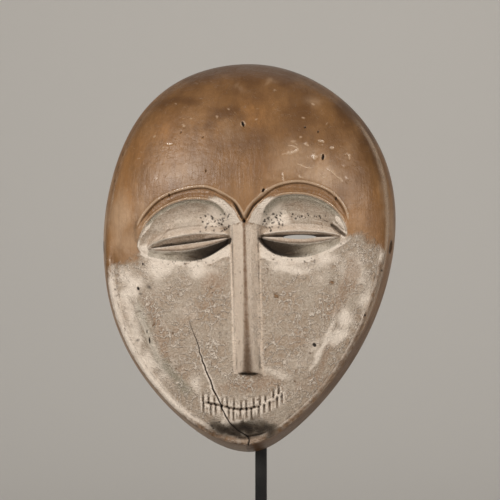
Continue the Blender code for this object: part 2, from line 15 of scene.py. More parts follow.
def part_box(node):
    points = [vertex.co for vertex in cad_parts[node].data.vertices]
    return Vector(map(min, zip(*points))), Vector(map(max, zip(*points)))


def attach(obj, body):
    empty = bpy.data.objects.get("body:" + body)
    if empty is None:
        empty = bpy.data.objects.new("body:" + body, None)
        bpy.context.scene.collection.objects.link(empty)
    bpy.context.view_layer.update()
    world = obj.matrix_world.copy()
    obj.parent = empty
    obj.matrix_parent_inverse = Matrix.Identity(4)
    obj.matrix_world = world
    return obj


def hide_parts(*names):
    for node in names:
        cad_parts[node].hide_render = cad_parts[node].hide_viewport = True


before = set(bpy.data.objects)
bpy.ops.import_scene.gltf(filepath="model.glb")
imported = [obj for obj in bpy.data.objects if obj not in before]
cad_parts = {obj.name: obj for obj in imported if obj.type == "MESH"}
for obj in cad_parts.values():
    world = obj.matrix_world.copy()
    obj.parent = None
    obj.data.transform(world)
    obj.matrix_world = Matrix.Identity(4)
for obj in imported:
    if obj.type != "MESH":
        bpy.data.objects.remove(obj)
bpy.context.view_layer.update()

bl_info = {
    "name": "Carved mask on a stand",
    "version": (1, 0, 0),
    "blender": (4, 5, 0),
    "location": "3D View > Sidebar > Mask",
    "description": "Carves and paints a wooden face mask and sets it on its steel stand",
    "category": "Object",
}

MM = 0.001

BACK_RIM_Y = 22.0
MASK_HEIGHT = 220.6
CHIN_ABOVE_TABLE = 95.0
HALF_HEIGHT = MASK_HEIGHT / 2
MASK_MIDDLE_Z = CHIN_ABOVE_TABLE + HALF_HEIGHT

# The egg outline: each side's half width is a taper in z / HALF_HEIGHT, times an ellipse
LEFT_TAPER = (83.2, 3.2, -1.8, 16.9)
RIGHT_TAPER = (81.5, 18.2, -2.9, 3.3, -9.6)
WALL_LEAN_LOW, WALL_LEAN_TOP = 0.046, 0.030

# Heights above the back rim at each z: the dome before carving, its front edge, and the hollow
CROWN_HEIGHT = ((-110, 33.5), (-80, 36.5), (-55, 38.8), (-25, 38.8), (0, 40.0), (10, 42.5), (20, 46.5),
                (45, 50.0), (80, 49.5), (110, 46.0))
EDGE_HEIGHT = ((-110, 27.0), (-60, 25.5), (0, 25.0), (50, 24.0), (110, 21.0))
HOLLOW_HEIGHT = ((-110, 19.0), (-80, 24.0), (-40, 27.0), (5, 25.5), (30, 31.0), (60, 38.0), (110, 35.0))
HOLLOW_REACH = 0.89
RIM_ROUNDING = 0.012
FACE_WIDTH = 80.0
CHAMFER_WIDTH = 2.8
CHANNEL_WIDTH = 11.0
CHANNEL_DEPTH = 1.5
EDGE_RUBBED = 2.2
EDGE_ROUNDING = 7.0

# The nose's crest runs up from its tip to where the brows meet, and each brow line out from there
NOSE_TIP = (2.0, -64.6)
BROW_MEETING = (0.1, 19.3)
BROW_LINES = (
    (BROW_MEETING, (-4.6, 27.6), (-12, 34.0), (-21.5, 37.9), (-34.2, 36.6), (-47.2, 31.7), (-56.5, 22.9),
     (-61.8, 13.5)),
    (BROW_MEETING, (4.1, 26.6), (8.7, 31.5), (17.6, 38.1), (29.4, 40.7), (40, 38.9), (49.2, 34.3), (55.7, 26.2),
     (58.3, 16)),
)
NOSE_HEIGHTS = (45.6, 44.5)
NOSE_CREST_ROUNDING = 1.3
BROW_STEP = 1.9
BROW_MEETING_GROOVE = 2.2
BAND_SLOPES = ((-84, 1.62), (0, 0.95), (8, 0.75), (16, 0.3), (28, -0.08), (90, -0.08))
BAND_WIDTHS = ((-84, 5.7), (-12.5, 7.6), (-11.5, 20.0), (20, 28.0), (50, 24.0), (66, 12.0), (80, 6.0))

# The outlines of the eye sockets, and of the soft edge down each cheek
SOCKETS = (
    ((-7.5, 7.5), (-7.8, 13), (-8.6, 19), (-12, 26.3), (-18.1, 30.2), (-29.7, 31.4), (-40.8, 28.7), (-50.5, 23),
     (-57.5, 14.6), (-60.5, 6), (-57.5, 1.2), (-50.5, -1), (-40.9, -2.7), (-30.8, -3.2), (-22.4, -1.6), (-14, 2.9)),
    ((7.6, 8.5), (7.9, 14), (9.5, 22), (13, 28.6), (20.6, 33.3), (34, 33.7), (45.5, 29.5), (53.3, 22.2),
     (57.2, 13.4), (54, 7.7), (46.3, 3.3), (37.3, -0.1), (29.5, -1.1), (22.3, -0.6), (15, 1.7)),
)
SOCKET_FLOOR = 31.6
SOCKET_FLOOR_RISE = 0.05
SOCKET_SLOPE_UNDER_BROW = 12.0
SOCKET_SLOPE_AT_CHEEK = 1.5
CORNER_DEPTH = 3.2
SHALLOW_SOCKET = 2.6
SOCKET_FADE = (18.0, 40.0)
CHEEK_CREASE_DROP = 1.0
CHEEK_CREASES = (
    ((-65.9, -3.1), (-60.2, -27.2), (-50.6, -55.1), (-35.4, -81.3)),
    ((57.5, 2), (53.9, -19), (44.4, -49.6), (28.3, -74.6)),
)

# Eyes: middle x and z, half length, tilt in degrees, and how far the parting reaches up
EYES = ((-31.4, 7.45, 23.8, 7.9, 4.6), (30.3, 10.9, 22.9, 0.0, 2.9))
UPPER_LID_REACH = 14.0
LOWER_LID_REACH = 3.6
LID_RISE = 5.4
LID_UNDERSIDE_SLOPE = 1.15
LID_BLEND = 3.0
PARTING_DEPTH = 3.6
PARTING_ARCH = 0.6
PARTING_LOWER_WIDTH = 1.0
EYE_SLOTS = ((20.0, 1.5, 24.0), (19.0, 2.7, 0.0))
EYE_SLOT_RISE = (0.1, -0.2)
PARTING_HEIGHT = 34.0
EYE_CUTTER_LENGTH = 40.0
CORD_HOLE_DIAMETER = 7.0
CORD_HOLE_PLACE = (15.0, 5.5)
WALL_MIDDLE_X = 75.0
CORD_CUTTER_LENGTH = 50.0
HOLE_WALL_TOLERANCE = 0.05
SIDE_WALL_FROM_X = 60.0

# The mouth line, and its strokes: count, first and last x, and length, above and below the line
MOUTH_LINE = ((-25, -81.3), (-15.6, -83), (-5.1, -85.3), (3.8, -84.6), (13.8, -80.7), (21.6, -75.1))
STROKES_ABOVE = (13, -24.2, 18.8, 5.2)
STROKES_BELOW = (14, -23.3, 20.6, 6.2)
STROKE_HALF_WIDTH = 0.9
STROKE_DEPTH = 1.7
MOUTH_CUT = (2.0, 1.1)
LIP_RISE = (0.6, 1.3)
MUZZLE_RISE = 1.4
MUZZLE_MIDDLE_Z = -82.0
MUZZLE_SPREAD = (24.0, 9.0)
CHIN_GROOVE = ((-14.5, -95.2), (-10.2, -98.6), (-3, -101.2), (5, -100.4), (13.6, -97))
CHIN_GROOVE_DEPTH = 4.8

# Scored lines along the brows, and the cuts at their meeting: depth, then the line
MID_LINES = (
    ((-47.0, 27.4), (-43.8, 29.4), (-34.9, 33.1), (-27.1, 34.2), (-15.9, 33.5), (-10.4, 31.3), (-5.9, 28.0)),
    ((13.5, 34.3), (19.1, 36.2), (24.6, 37.0), (31.2, 36.7), (41.2, 35.3), (46.7, 32.2), (50.6, 28.3), (54.0, 22.0)),
)
V_CUTS = (
    (2.0, ((0.1, 18.9), (-2.6, 24.2), (-5.3, 29.0), (-9.5, 32.6))),
    (1.1, ((0.2, 18.8), (3.5, 24.6), (6.3, 28.5), (13.5, 34.3), (17.5, 35.9))),
)

# Crevices: the line, its half width and its depth
CREVICES = (
    (((47.0, 18.2), (50.0, 15.9), (53.2, 13.2), (57.0, 10.6)), 1.15, 2.6),
    (((22.0, 23.4), (27.9, 23.2), (32.4, 22.5), (39.1, 20.8), (44.6, 19.6), (48.0, 17.4)), 0.6, 0.5),
    (((-53.0, 4.4), (-48.7, 9.1), (-44.8, 13.0), (-40.8, 16.3), (-35.8, 19.1)), 0.7, 0.5),
)
# Fields of small holes: low and high corner, how many, radius, depth, seed
POCKMARKS = (
    ((-25.0, 13.5, -8.5, 23.5), 46, 0.42, 0.8, 61),
    ((9.0, 12.0, 22.0, 25.0), 40, 0.42, 0.8, 62),
    ((22.0, 20.8, 45.0, 23.6), 14, 0.45, 0.8, 63),
    ((-47.0, -5.5, -17.0, -0.5), 26, 0.4, 0.35, 64),
    ((9.0, -4.5, 42.0, 0.5), 26, 0.4, 0.35, 65),
    ((-20.0, -50.0, -7.0, -22.0), 24, 0.45, 0.3, 66),
    ((-62.0, -52.0, -50.0, 0.0), 14, 0.4, 0.35, 67),
    ((-20.0, -97.0, -12.0, -92.5), 8, 0.5, 0.5, 68),
    ((6.0, -66.0, 14.0, -8.0), 14, 0.35, 0.3, 69),
)
GOUGE_DEPTH = 0.7
# Uneven hand carving over the whole face: height of the waves, size, seed
UNEVENNESS = ((0.16, 15.0, 3), (0.07, 5.5, 4), (0.025, 1.7, 5))

# The rolled edge of each upper lid: its middle and width above the parting, and the crease over it
LID_ROLL = (2.0, 1.7, 0.7)
LID_CREASE = (5.2, 1.0, 0.5)

# Scratches and scuffs in the surface: the line, half width, depth
SCRATCHES = (
    (((-36.9, -4.5), (-36.6, -10), (-37.0, -16)), 0.35, 0.3), (((-35.2, -4.8), (-35.4, -12)), 0.35, 0.35),
    (((-32.1, -5), (-32.3, -14)), 0.35, 0.3), (((49.6, 35.2), (50.4, 32.6)), 0.6, 0.6),
    (((23, 57), (27, 57), (31, 60)), 0.8, 0.3), (((26, 61), (30, 59.5)), 0.5, 0.25),
    (((33, 62), (36, 60.5)), 0.6, 0.3), (((40, 64), (45, 63)), 0.6, 0.3), (((47, 60), (50, 59.5)), 0.6, 0.3),
    (((38, 53), (40.5, 56)), 1.4, 0.5), (((45, 49), (50, 45), (56, 40)), 0.5, 0.3),
    (((41, 46), (46, 42)), 0.5, 0.2), (((57, 57), (59, 53)), 0.6, 0.35),
    (((28, 52), (34, 49), (40, 48)), 0.5, 0.2), (((22, 47), (22, 40)), 0.5, 0.2),
    (((-44, 63), (-40, 62)), 0.5, 0.2),
)
# Fields of random scratches: low and high corner, how many, steepest turn from level in degrees, seed
SCRATCH_FIELDS = (
    ((20.0, 42.0, 58.0, 68.0), 34, 50, 91), ((-62.0, 42.0, -18.0, 70.0), 16, 30, 92),
    ((-16.0, 44.0, 18.0, 92.0), 14, 80, 93), ((20.0, 70.0, 62.0, 98.0), 14, 60, 94),
    ((-50.0, 72.0, -10.0, 100.0), 10, 40, 95), ((-52.0, -32.0, -12.0, -2.0), 12, 80, 96),
    ((10.0, -34.0, 52.0, -2.0), 16, 40, 97), ((8.0, -72.0, 44.0, -36.0), 8, 60, 98),
)
BAND_TOOLING = 0.13
# The brows' crisp relief, each with its height or depth and its width: the forehead's lip and the cut
# beside it, the ridge over each socket and the cut inside it, and the scored line
BROW_LIP, BROW_CUT = (0.35, 0.6), (0.4, 0.8)
SOCKET_RIDGE, SOCKET_CUT = (0.6, 0.65), (0.7, 1.0)
SCORED_LINE = (0.28, 0.55)

# The crack from the left cheek through the mouth to the rim, with its width at places along it
CRACK = ((-31.5, -34.5), (-30.3, -38.4), (-28.4, -44), (-26.4, -49.6), (-24.2, -56.8), (-22.5, -61.8), (-20.2, -67.9),
         (-17.7, -74.6), (-15.2, -80.2), (-12.2, -86.9), (-10.5, -90.3), (-8.2, -93.6), (-4.9, -97), (-1, -99.7),
         (1.6, -102.5), (1.2, -106), (2.0, -112))
CRACK_WIDTHS = ((0, 0.22), (20, 0.3), (46, 0.5), (60, 0.42), (80, 0.5))
CRACK_DEPTH = 1.9

# Slits and pits in the surface: x, z, length, width, turn from upright in degrees, depth
PITS = (
    (-0.7, 73.2, 3.4, 1.3, -22, 1.6), (43.8, 54.6, 3.6, 1.3, 8, 1.6), (11.0, 36.0, 2.4, 1.4, 30, 1.5),
    (33.8, 71.4, 1.4, 0.9, 60, 0.9), (-60.1, -18.0, 2.4, 1.6, -30, 1.1), (-53.8, -47.0, 4.0, 0.9, -6, 1.0),
    (-55.2, -42.0, 2.6, 0.7, 4, 0.7), (38.6, -49.5, 3.0, 2.2, -35, 0.9), (51.0, 31.6, 2.4, 0.9, 10, 0.8),
    (-57.3, -4.3, 1.6, 1.0, 0, 0.7), (76.0, -8.0, 1.8, 1.0, -35, 0.8), (-41.8, 34.0, 2.2, 0.8, 0, 0.7),
    (-21.0, 47.0, 2.0, 0.7, 10, 0.6), (27.0, -93.5, 2.4, 1.0, 60, 0.8), (66.6, -33.0, 1.8, 1.4, 20, 0.7),
    (-23.0, 66.0, 1.5, 0.9, 60, 0.6), (41.0, 69.0, 1.6, 0.9, 10, 0.7), (-35.5, 69.0, 1.4, 1.0, 50, 0.5),
)

# The stand's square bar, bent forward at its top to a crossbar inside the forehead
BAR_SIDE = 6.35
BAR_X = 6.4
BAR_BEND_RADIUS = 9.0
BAR_EDGE = 0.45
BEND_STEPS = 12
CROSSBAR_LENGTH = 56.0
TOUCH_GAP = 0.3
SHARP_ANGLE = math.radians(40.0)

# How much the carved mask is shrunk to stay inside the solid's own box
KEPT_INSIDE = 0.9994
SPOKES = 240
RINGS = 40
WALL_RINGS = 10
HOLLOW_RINGS = 30
BASE_EDGE = 1.5
FINE_EDGE = 0.33

# The grid that finds hollows in the carving, and the radii at which it looks for them
MAP_STEP = 0.4
MAP_HALF_WIDTH = 92.0
MAP_HALF_HEIGHT = 116.0
HOLLOW_RADII = (0.8, 2.5, 7.0)
OUTER_FALL = 1.6

# Where the clay ends below the temples: height z at places x
CLAY_EDGE = ((-82, -12), (-75, -9), (-60, -3), (-54, 2), (0, 6), (50, 6), (58, 9), (66, 9), (74, 3), (82, 1))

# Blotches of finish, of painted highlight and of painted shade: middle x and z, half width, half height, strength
DARK_PATCHES = (
    (0, 112, 75, 18, 1.0), (-10, 79, 11, 7, 0.75), (-38, 86, 16, 5, 0.7), (-20, 76, 10, 8, 0.5),
    (22, 97, 8, 9, 0.75), (30, 84, 8, 16, 0.7), (55, 80, 7, 12, 0.7), (66, 68, 7, 14, 0.75), (67, 54, 8, 12, 0.5),
    (2, 62, 26, 16, 0.45), (0, 92, 40, 12, 0.4), (-6, 50, 10, 10, 0.3), (36, 62, 14, 10, 0.25),
)
# Paler wood, with painted highlights where the light glints on the forehead and along the right rim
PALE_WOOD_AND_HIGHLIGHT_PATCHES = (
    (-36, 46, 20, 11, 0.45), (-9, 68, 9, 8, 0.35), (38, 87, 13, 5, 0.45), (14, 96, 7, 3, 0.5), (29, 52, 15, 13, 0.6),
    (42, 44, 12, 9, 0.75), (-60, 26, 10, 16, 0.45), (-3, 93, 5, 3, 0.4), (-62, 8, 9, 12, 0.55), (20, 43, 12, 5, 0.4),
    (-70, 20, 7, 24, 0.8), (62, 16, 7, 10, 0.4), (54, 58, 8, 8, 0.35), (78, 22, 5, 22, 0.6),
)
WARM_PATCHES = (
    (-70, 40, 9, 30, 0.9), (-44, 70, 10, 12, 0.7), (7, 80, 12, 14, 0.7), (74, 22, 7, 18, 0.9), (-73, 12, 7, 14, 0.6),
    (8, 50, 16, 12, 0.5), (62, 18, 8, 10, 0.7), (-60, 60, 8, 14, 0.6),
)
RUBBED_PATCHES = (
    (-17, -16, 8, 9, 0.8), (-22, -31, 8, 8, 0.6), (-44, -45, 9, 9, 0.75), (-38, -66, 6, 11, 0.7),
    (-5, -72, 9, 5, 0.75), (10, -72, 9, 5, 0.8), (2, -73, 13, 5, 1.1), (28, -46, 9, 5, 0.7), (12, -17, 4, 14, 0.5),
    (20, -22, 9, 8, 0.35), (-38, -22, 10, 10, 0.3), (-70, -30, 4, 14, 0.4), (40, -70, 6, 8, 0.5),
    (30, -74, 5, 5, 0.5),
)
PALE_PATCHES = (
    (-47, -6, 12, 8, 0.85), (-24, -9, 14, 6, 0.75), (27, -6, 17, 5, 0.85), (-33, -31, 10, 9, 0.4),
    (-64, -19, 6, 14, 0.8), (-60, -44, 5, 16, 0.7), (-46, -66, 6, 10, 0.6), (61, -7, 7, 9, 0.85),
    (54, -35, 6, 8, 0.95), (51, -46, 6, 5, 0.9),
    (-69, -12, 4, 8, 0.9), (-66, -28, 4.5, 12, 0.95), (-46, -18, 8, 10, 0.35), (-54, -60, 3, 12, 0.9),
    (66, -22, 3, 12, 0.7), (40, -50, 8, 6, 0.5), (-29, -69, 5, 6, 0.7), (17, -66, 9, 3, 0.6), (46, -1, 9, 6, 0.8),
    (44, -13, 8, 8, 0.4), (28, -60, 8, 7, 0.4),
    (-15, 22, 6, 6, 0.5), (13, 24, 7, 7, 0.5), (-55, 2, 5, 4, 0.8),
)
# Painted shade under the mouth, where the chin rolls back into the crescent cut
CHIN_SHADE = ((-1, -96, 13, 4.6, 1.1), (-14, -95, 7, 4.5, 0.9), (10, -96, 6, 4, 0.8))
# Stains along lines: the line, half width, strength
BROWN_STAINS = (
    (((59, 5), (60, -8), (59, -15), (56, -18), (52, -25), (48, -30), (42, -38)), 3.6, 1.2),
    (((48, -45), (46, -52), (42, -63), (38, -69), (34, -74)), 2.0, 1.1),
    (((-57, -14), (-55, -24), (-50, -36), (-47, -47), (-42, -63), (-36, -70)), 2.4, 1.0),
)
GREEN_STAINS = (
    (((-61, -18), (-58, -34), (-51, -54), (-42, -70)), 3.0, 0.6),
    (((-50, -54), (-43, -63), (-36, -72), (-28, -80)), 3.5, 0.9),
    (((-40, 13), (-47, 9), (-55, 5)), 3.0, 0.5),
)
PALE_LINES = (
    (((6, -83.4), (13.8, -80.2), (19, -77), (23, -73.5)), 0.7, 1.0),
    (((-24, 9.6), (-20, 11.0), (-16, 12.2), (-12, 12.6)), 0.9, 1.0),
    (((-20, -97.5), (-12, -101), (-3, -103.6), (6, -103), (13, -100)), 1.0, 0.8),
)
DIRT_LINES = (
    (((-13, -71), (0, -73.5), (13, -72)), 4.0, 0.28),
    (((-58.4, 4), (-61.5, 12), (-61, 20), (-57, 26)), 1.6, 0.45),
    (((-55.5, -20), (-52.5, -33), (-50, -41)), 0.9, 0.5),
)
CREST_WIDTHS = ((-64, 3.2), (-50, 2.2), (-20, 1.5), (10, 1.1), (18, 1.1))

IMAGE_PIXELS = 500
PIXEL_MM = 0.57
SENSOR_WIDTH = 36.0
CAMERA_AIM = (0.3, BACK_RIM_Y, MASK_MIDDLE_Z + 4.6)

# The stage, in metres
STAGE_HALF_WIDTH = 3.0
STAGE_FRONT_Y = -3.0
STAGE_BACK_Y = 0.9
STAGE_CURVE_RADIUS = 0.6
STAGE_WALL_HEIGHT = 2.4
# The lights, in metres: places, sizes and colours, and where the light on the backdrop points
KEY_PLACE = (-0.62, -1.05, 0.55)
FILL_PLACE = (0.80, -1.00, 0.42)
FRONT_LIGHT_SIZE = 0.32
FRONT_LIGHT_COLOUR = (1.0, 0.955, 0.90)
BACKDROP_LIGHT_PLACE = (0.0, 0.45, 1.9)
BACKDROP_LIGHT_AIM = (0.0, 2.5, 1.0)
BACKDROP_LIGHT_SIZE = 1.0
BACKDROP_LIGHT_COLOUR = (1.0, 0.98, 0.95)
ROOM_COLOUR = (1.0, 0.97, 0.94)


def ease(low, high, value):
    """0 up to low, 1 from high on, with a smooth rise between them; low may be the larger."""
    share = np.clip((value - low) / (high - low), 0.0, 1.0)
    return share * share * (3.0 - 2.0 * share)


def peak(distance, width):
    """A sharp ridge of height 1 at distance 0, down to 0 at the width."""
    return np.clip(1.0 - np.abs(distance) / width, 0.0, 1.0)


def table(pairs, value):
    places, heights = np.array(pairs, float).T
    return np.interp(value, places, heights)


def smooth_curve(points, closed=False, steps=6):
    """A Catmull-Rom curve through the points, as an array of close points."""
    points = np.array(points, float)
    if closed:
        padded = np.vstack([points[-1:], points, points[:2]])
    else:
        padded = np.vstack([2 * points[0] - points[1], points, 2 * points[-1] - points[-2]])
    share = np.linspace(0.0, 1.0, steps, endpoint=False)[:, None]
    spans = []
    for a, b, c, d in zip(padded, padded[1:], padded[2:], padded[3:]):
        bend = 2 * a - 5 * b + 4 * c - d
        twist = 3 * b - a - 3 * c + d
        spans.append(0.5 * (2 * b + (c - a) * share + bend * share**2 + twist * share**3))
    spans.append(padded[-2:-1])
    return np.vstack(spans)


def smooth_table(pairs, value):
    """The height that a table of (place, height) gives at each value, on a smooth curve."""
    curve = smooth_curve(pairs)
    return np.interp(value, curve[:, 0], curve[:, 1])


def distance_to(curve, x, z):
    """Each point's distance to the curve, negative on its right, and how far along it is nearest."""
    nearest = np.full(x.shape, np.inf)
    signed = np.zeros(x.shape)
    along = np.zeros(x.shape)
    runs = np.diff(curve, axis=0)
    lengths = np.hypot(*runs.T)
    starts = np.concatenate([[0.0], np.cumsum(lengths)])
    for (ax, az), (dx, dz), start, length in zip(curve, runs, starts, lengths):
        share = np.clip(((x - ax) * dx + (z - az) * dz) / length**2, 0.0, 1.0)
        gap = np.hypot(x - ax - share * dx, z - az - share * dz)
        closer = gap < nearest
        nearest = np.where(closer, gap, nearest)
        signed = np.where(closer, gap * np.sign(dx * (z - az) - dz * (x - ax)), signed)
        along = np.where(closer, start + share * length, along)
    return signed, along


def curve_length(curve):
    return np.hypot(*np.diff(curve, axis=0).T).sum()


def fade_ends(along, length, share):
    """1 over the middle of a curve, falling to 0 at its ends over this share of its length."""
    return ease(0.0, share * length, along) * ease(length, (1.0 - share) * length, along)


def ripple(x, z, size, seed):
    """Smooth random waves of about this size in millimetres, from -1 to 1."""
    knots = np.random.default_rng(seed).uniform(-1.0, 1.0, (97, 97))
    u, v = x / size + 960.37, z / size + 960.61
    i, j = np.floor(u).astype(int), np.floor(v).astype(int)
    s, t = u - i, v - j
    s, t = s * s * (3 - 2 * s), t * t * (3 - 2 * t)
    i, j = i % 96, j % 96
    low = knots[i, j] + (knots[i + 1, j] - knots[i, j]) * s
    high = knots[i, j + 1] + (knots[i + 1, j + 1] - knots[i, j + 1]) * s
    return low + (high - low) * t


def half_width(x, z):
    """The outline's taper on the side of the mask where each point lies."""
    share = z / HALF_HEIGHT
    left = np.polyval(LEFT_TAPER[::-1], share)
    right = np.polyval(RIGHT_TAPER[::-1], share)
    return np.where(x < 0, left, right)


def place_on_egg(u, v):
    """Turns points of the unit disc into points of the outline's egg."""
    z = HALF_HEIGHT * v
    return u * half_width(u, z), z


def reach(x, z):
    """0 at the middle of the egg and 1 on its outline."""
    return np.hypot(x / half_width(x, z), z / HALF_HEIGHT)


def edge_reach(z):
    """The reach of the front edge, which the leaning side wall draws in from the outline."""
    return 1.0 - WALL_LEAN_LOW + (WALL_LEAN_LOW - WALL_LEAN_TOP) * ease(10, 80, z)


def inward_of_edge(x, z):
    """About how many millimetres each point lies inside the front edge."""
    return (1.0 - reach(x, z) / edge_reach(z)) * FACE_WIDTH


def edge_drop(z):
    """How far the front edge is rubbed down over the forehead, where no chamfer marks it."""
    return EDGE_RUBBED * ease(5.0, 45.0, z)


def edge_height(z):
    return smooth_table(EDGE_HEIGHT, z) - edge_drop(z)


def uncarved_front(x, z):
    """The dome that the face is carved into, with a chamfer and a shallow channel round the cheeks."""
    edge = smooth_table(EDGE_HEIGHT, z)
    crown = smooth_table(CROWN_HEIGHT, z)
    share = np.clip(reach(x, z) / edge_reach(z), 0.0, 1.0)
    height = edge + (crown - edge) * (1.0 - share**2.4) ** 0.64
    inward = (1.0 - share) * FACE_WIDTH - CHAMFER_WIDTH
    channel = np.clip(inward / 0.7, 0.0, 1.0) * np.clip(1.0 - inward / CHANNEL_WIDTH, 0.0, 1.0) ** 1.5
    return height - CHANNEL_DEPTH * channel * ease(12, -10, z)


def ridge_lines():
    """The two lines that run up the crest of the nose, then out along a brow."""
    for points in BROW_LINES:
        yield np.vstack([[NOSE_TIP], smooth_curve(points)])


def shape_bands(height, x, z):
    """The nose and brow bands: on each side one band that falls away from a ridge line."""
    uncarved = height
    nose_length = math.dist(NOSE_TIP, BROW_MEETING)
    for curve, side in zip(ridge_lines(), (1, -1)):
        signed, along = distance_to(curve, x, z)
        inward = signed * side
        past_meeting = along - nose_length
        tip_height, top_height = NOSE_HEIGHTS
        crest = tip_height + (top_height - tip_height) * np.clip(along / nose_length, 0.0, 1.0)
        on_brow = ease(-1.0, 5.0, past_meeting)
        ridge = crest + (uncarved - BROW_STEP - crest) * on_brow
        fall = np.hypot(inward, NOSE_CREST_ROUNDING) - NOSE_CREST_ROUNDING
        band = np.maximum(ridge - table(BAND_SLOPES, past_meeting) * fall, SOCKET_FLOOR + 1.0)
        width = table(BAND_WIDTHS, past_meeting)
        starts = np.where(past_meeting < 0.0, inward >= 0.0, ease(0.0, 0.9, inward))
        ends = ease(width + 0.5, width - 0.2, inward) * ease(NOSE_TIP[1] - 1.0, NOSE_TIP[1] + 0.3, z)
        ends = ends * ease(curve_length(curve), curve_length(curve) - 12.0, along)
        height = height + (band - height) * starts * ends
        groove = peak(inward, 1.1) * ease(28.0, 8.0, past_meeting) * ease(-1.5, 0.5, past_meeting)
        height = height - BROW_MEETING_GROOVE * groove
    return height


def sink_sockets(height, x, z):
    """Sinks each eye socket to its floor: a long slope under the brow, a short one over the cheek."""
    for points, eye, side in zip(SOCKETS, EYES, (1, -1)):
        signed, _ = distance_to(smooth_curve(points, closed=True), x, z)
        inward = np.clip(signed * side, 0.0, None)
        up = z - eye[1]
        beside_nose = ease(22.0, 12.0, np.abs(x))
        under_brow = ease(2.0 - 3.0 * beside_nose, 12.0 - 5.0 * beside_nose, up)
        towards_ear = ease(*SOCKET_FADE, np.abs(x))
        at_cheek = SOCKET_SLOPE_AT_CHEEK * (1.0 + 1.5 * towards_ear)
        slope_width = at_cheek + (SOCKET_SLOPE_UNDER_BROW - at_cheek) * under_brow
        sunk = 1.0 - (1.0 - np.clip(inward / slope_width, 0.0, 1.0)) ** (1.0 + under_brow)
        corner = ease(-0.5, -6.0, up) * ease(52.0, 22.0, np.abs(x))
        floor = SOCKET_FLOOR + SOCKET_FLOOR_RISE * np.abs(x) - CORNER_DEPTH * corner
        shallow = (height - SHALLOW_SOCKET - floor) * towards_ear * ease(3.0, -3.0, up)
        floor = floor + np.clip(shallow, 0.0, None)
        height = height + (np.minimum(floor, height) - height) * sunk
    return height


def raise_eyelids(height, x, z):
    """The almond lids of each eye, with the parting between them cut back under the upper lid."""
    for middle_x, middle_z, half_length, tilt, parting in EYES:
        turn = math.radians(tilt)
        across = (x - middle_x) * math.cos(turn) + (z - middle_z) * math.sin(turn)
        up = (z - middle_z) * math.cos(turn) - (x - middle_x) * math.sin(turn)
        lens = np.clip(1.0 - (across / half_length) ** 2, 0.0, 1.0)
        upper_edge = parting * lens**PARTING_ARCH
        crease = UPPER_LID_REACH * lens**0.8 + 1e-6
        rise = LID_RISE * lens**0.5
        upper = rise * np.clip((crease - up) / (crease - upper_edge), 0.0, 1.0) ** 0.9
        under = rise - LID_UNDERSIDE_SLOPE * np.clip(-up - LOWER_LID_REACH * lens, 0.0, None)
        lid = SOCKET_FLOOR + SOCKET_FLOOR_RISE * np.abs(x) + np.where(up > 0.0, upper, under)
        soft = LID_BLEND * ease(-0.3 * half_length, 0.6 * half_length, -across * np.sign(middle_x)) + 0.4
        overlap = np.clip(1.0 - np.abs(height - lid) / soft, 0.0, 1.0)
        blended = np.maximum(height, lid) + 0.25 * soft * overlap**2 * (up > 0.0)
        raised = np.where((lens > 0.0) & (up < crease), blended, height)
        above = np.clip((upper_edge - up) / (upper_edge + 1e-6), 0.0, 1.0) ** PARTING_ARCH
        below = np.clip(1.0 + up / (PARTING_LOWER_WIDTH * lens + 1e-6), 0.0, 1.0)
        height = raised - PARTING_DEPTH * lens**0.5 * np.where(up > 0.0, above, below)
    return height


def crease_cheeks(height, x, z):
    """The soft edge down each cheek, outside which the face falls a little lower."""
    for points, side in zip(CHEEK_CREASES, (-1, 1)):
        curve = smooth_curve(points)
        signed, along = distance_to(curve, x, z)
        outward = signed * side
        drop = ease(-1.0, 4.0, outward) * ease(14.0, 4.0, outward)
        height = height - CHEEK_CREASE_DROP * drop * fade_ends(along, curve_length(curve), 0.3)
    return height


def mouth_strokes():
    """Each gouge of the mouth as (x, z near the mouth line, z at its far end)."""
    curve = smooth_curve(MOUTH_LINE)
    for (count, first, last, length), way in ((STROKES_ABOVE, 1.0), (STROKES_BELOW, -1.0)):
        for number, even_x in enumerate(np.linspace(first, last, count)):
            x = even_x + 0.45 * math.sin(2.3 * number + way)
            mouth_z = np.interp(x, curve[:, 0], curve[:, 1])
            yield x, mouth_z + 0.6 * way, mouth_z + way * length * (0.92 + 0.14 * math.sin(1.7 * number))


def cut_mouth(height, x, z):
    """The mouth: a curved cut that turns to a raised lip on the right, crossed by short gouges."""
    half_x, half_z = MUZZLE_SPREAD
    height = height + MUZZLE_RISE * np.exp(-((x / half_x) ** 2) - ((z - MUZZLE_MIDDLE_Z) / half_z) ** 2)
    curve = smooth_curve(MOUTH_LINE)
    length = curve_length(curve)
    gap, along = distance_to(curve, x, z)
    ends = fade_ends(along, length, 0.1)
    open_cut = ease(0.75 * length, 0.6 * length, along)
    depth, width = MOUTH_CUT
    height = height - depth * ends * open_cut * peak(gap, width)
    rise, width = LIP_RISE
    height = height + rise * ends * (1.0 - open_cut) * peak(gap, width)
    for stroke_x, near_z, far_z in mouth_strokes():
        share = np.clip((z - near_z) / (far_z - near_z), 0.0, 1.0)
        gap = np.hypot(x - stroke_x, z - (near_z + share * (far_z - near_z)))
        height = height - STROKE_DEPTH * (1.0 - 0.45 * share) * peak(gap, STROKE_HALF_WIDTH)
    return height


def cut_chin(height, x, z):
    """The crescent cut under the mouth: the chin rolls down into it and the rim stands as a lip."""
    curve = smooth_curve(CHIN_GROOVE)
    gap, along = distance_to(curve, x, z)
    roll = 0.55 * np.exp(-((gap / 5.5) ** 2)) + 0.45 * peak(gap, 1.6)
    profile = np.where(gap > 0.0, roll, peak(gap, 1.4))
    return height - CHIN_GROOVE_DEPTH * fade_ends(along, curve_length(curve), 0.33) * profile


def main_forms(x, z):
    """The height of the carved face at each point, without its fine relief."""
    height = uncarved_front(x, z)
    height = crease_cheeks(height, x, z)
    height = shape_bands(height, x, z)
    height = sink_sockets(height, x, z)
    height = raise_eyelids(height, x, z)
    height = cut_mouth(height, x, z)
    return cut_chin(height, x, z)


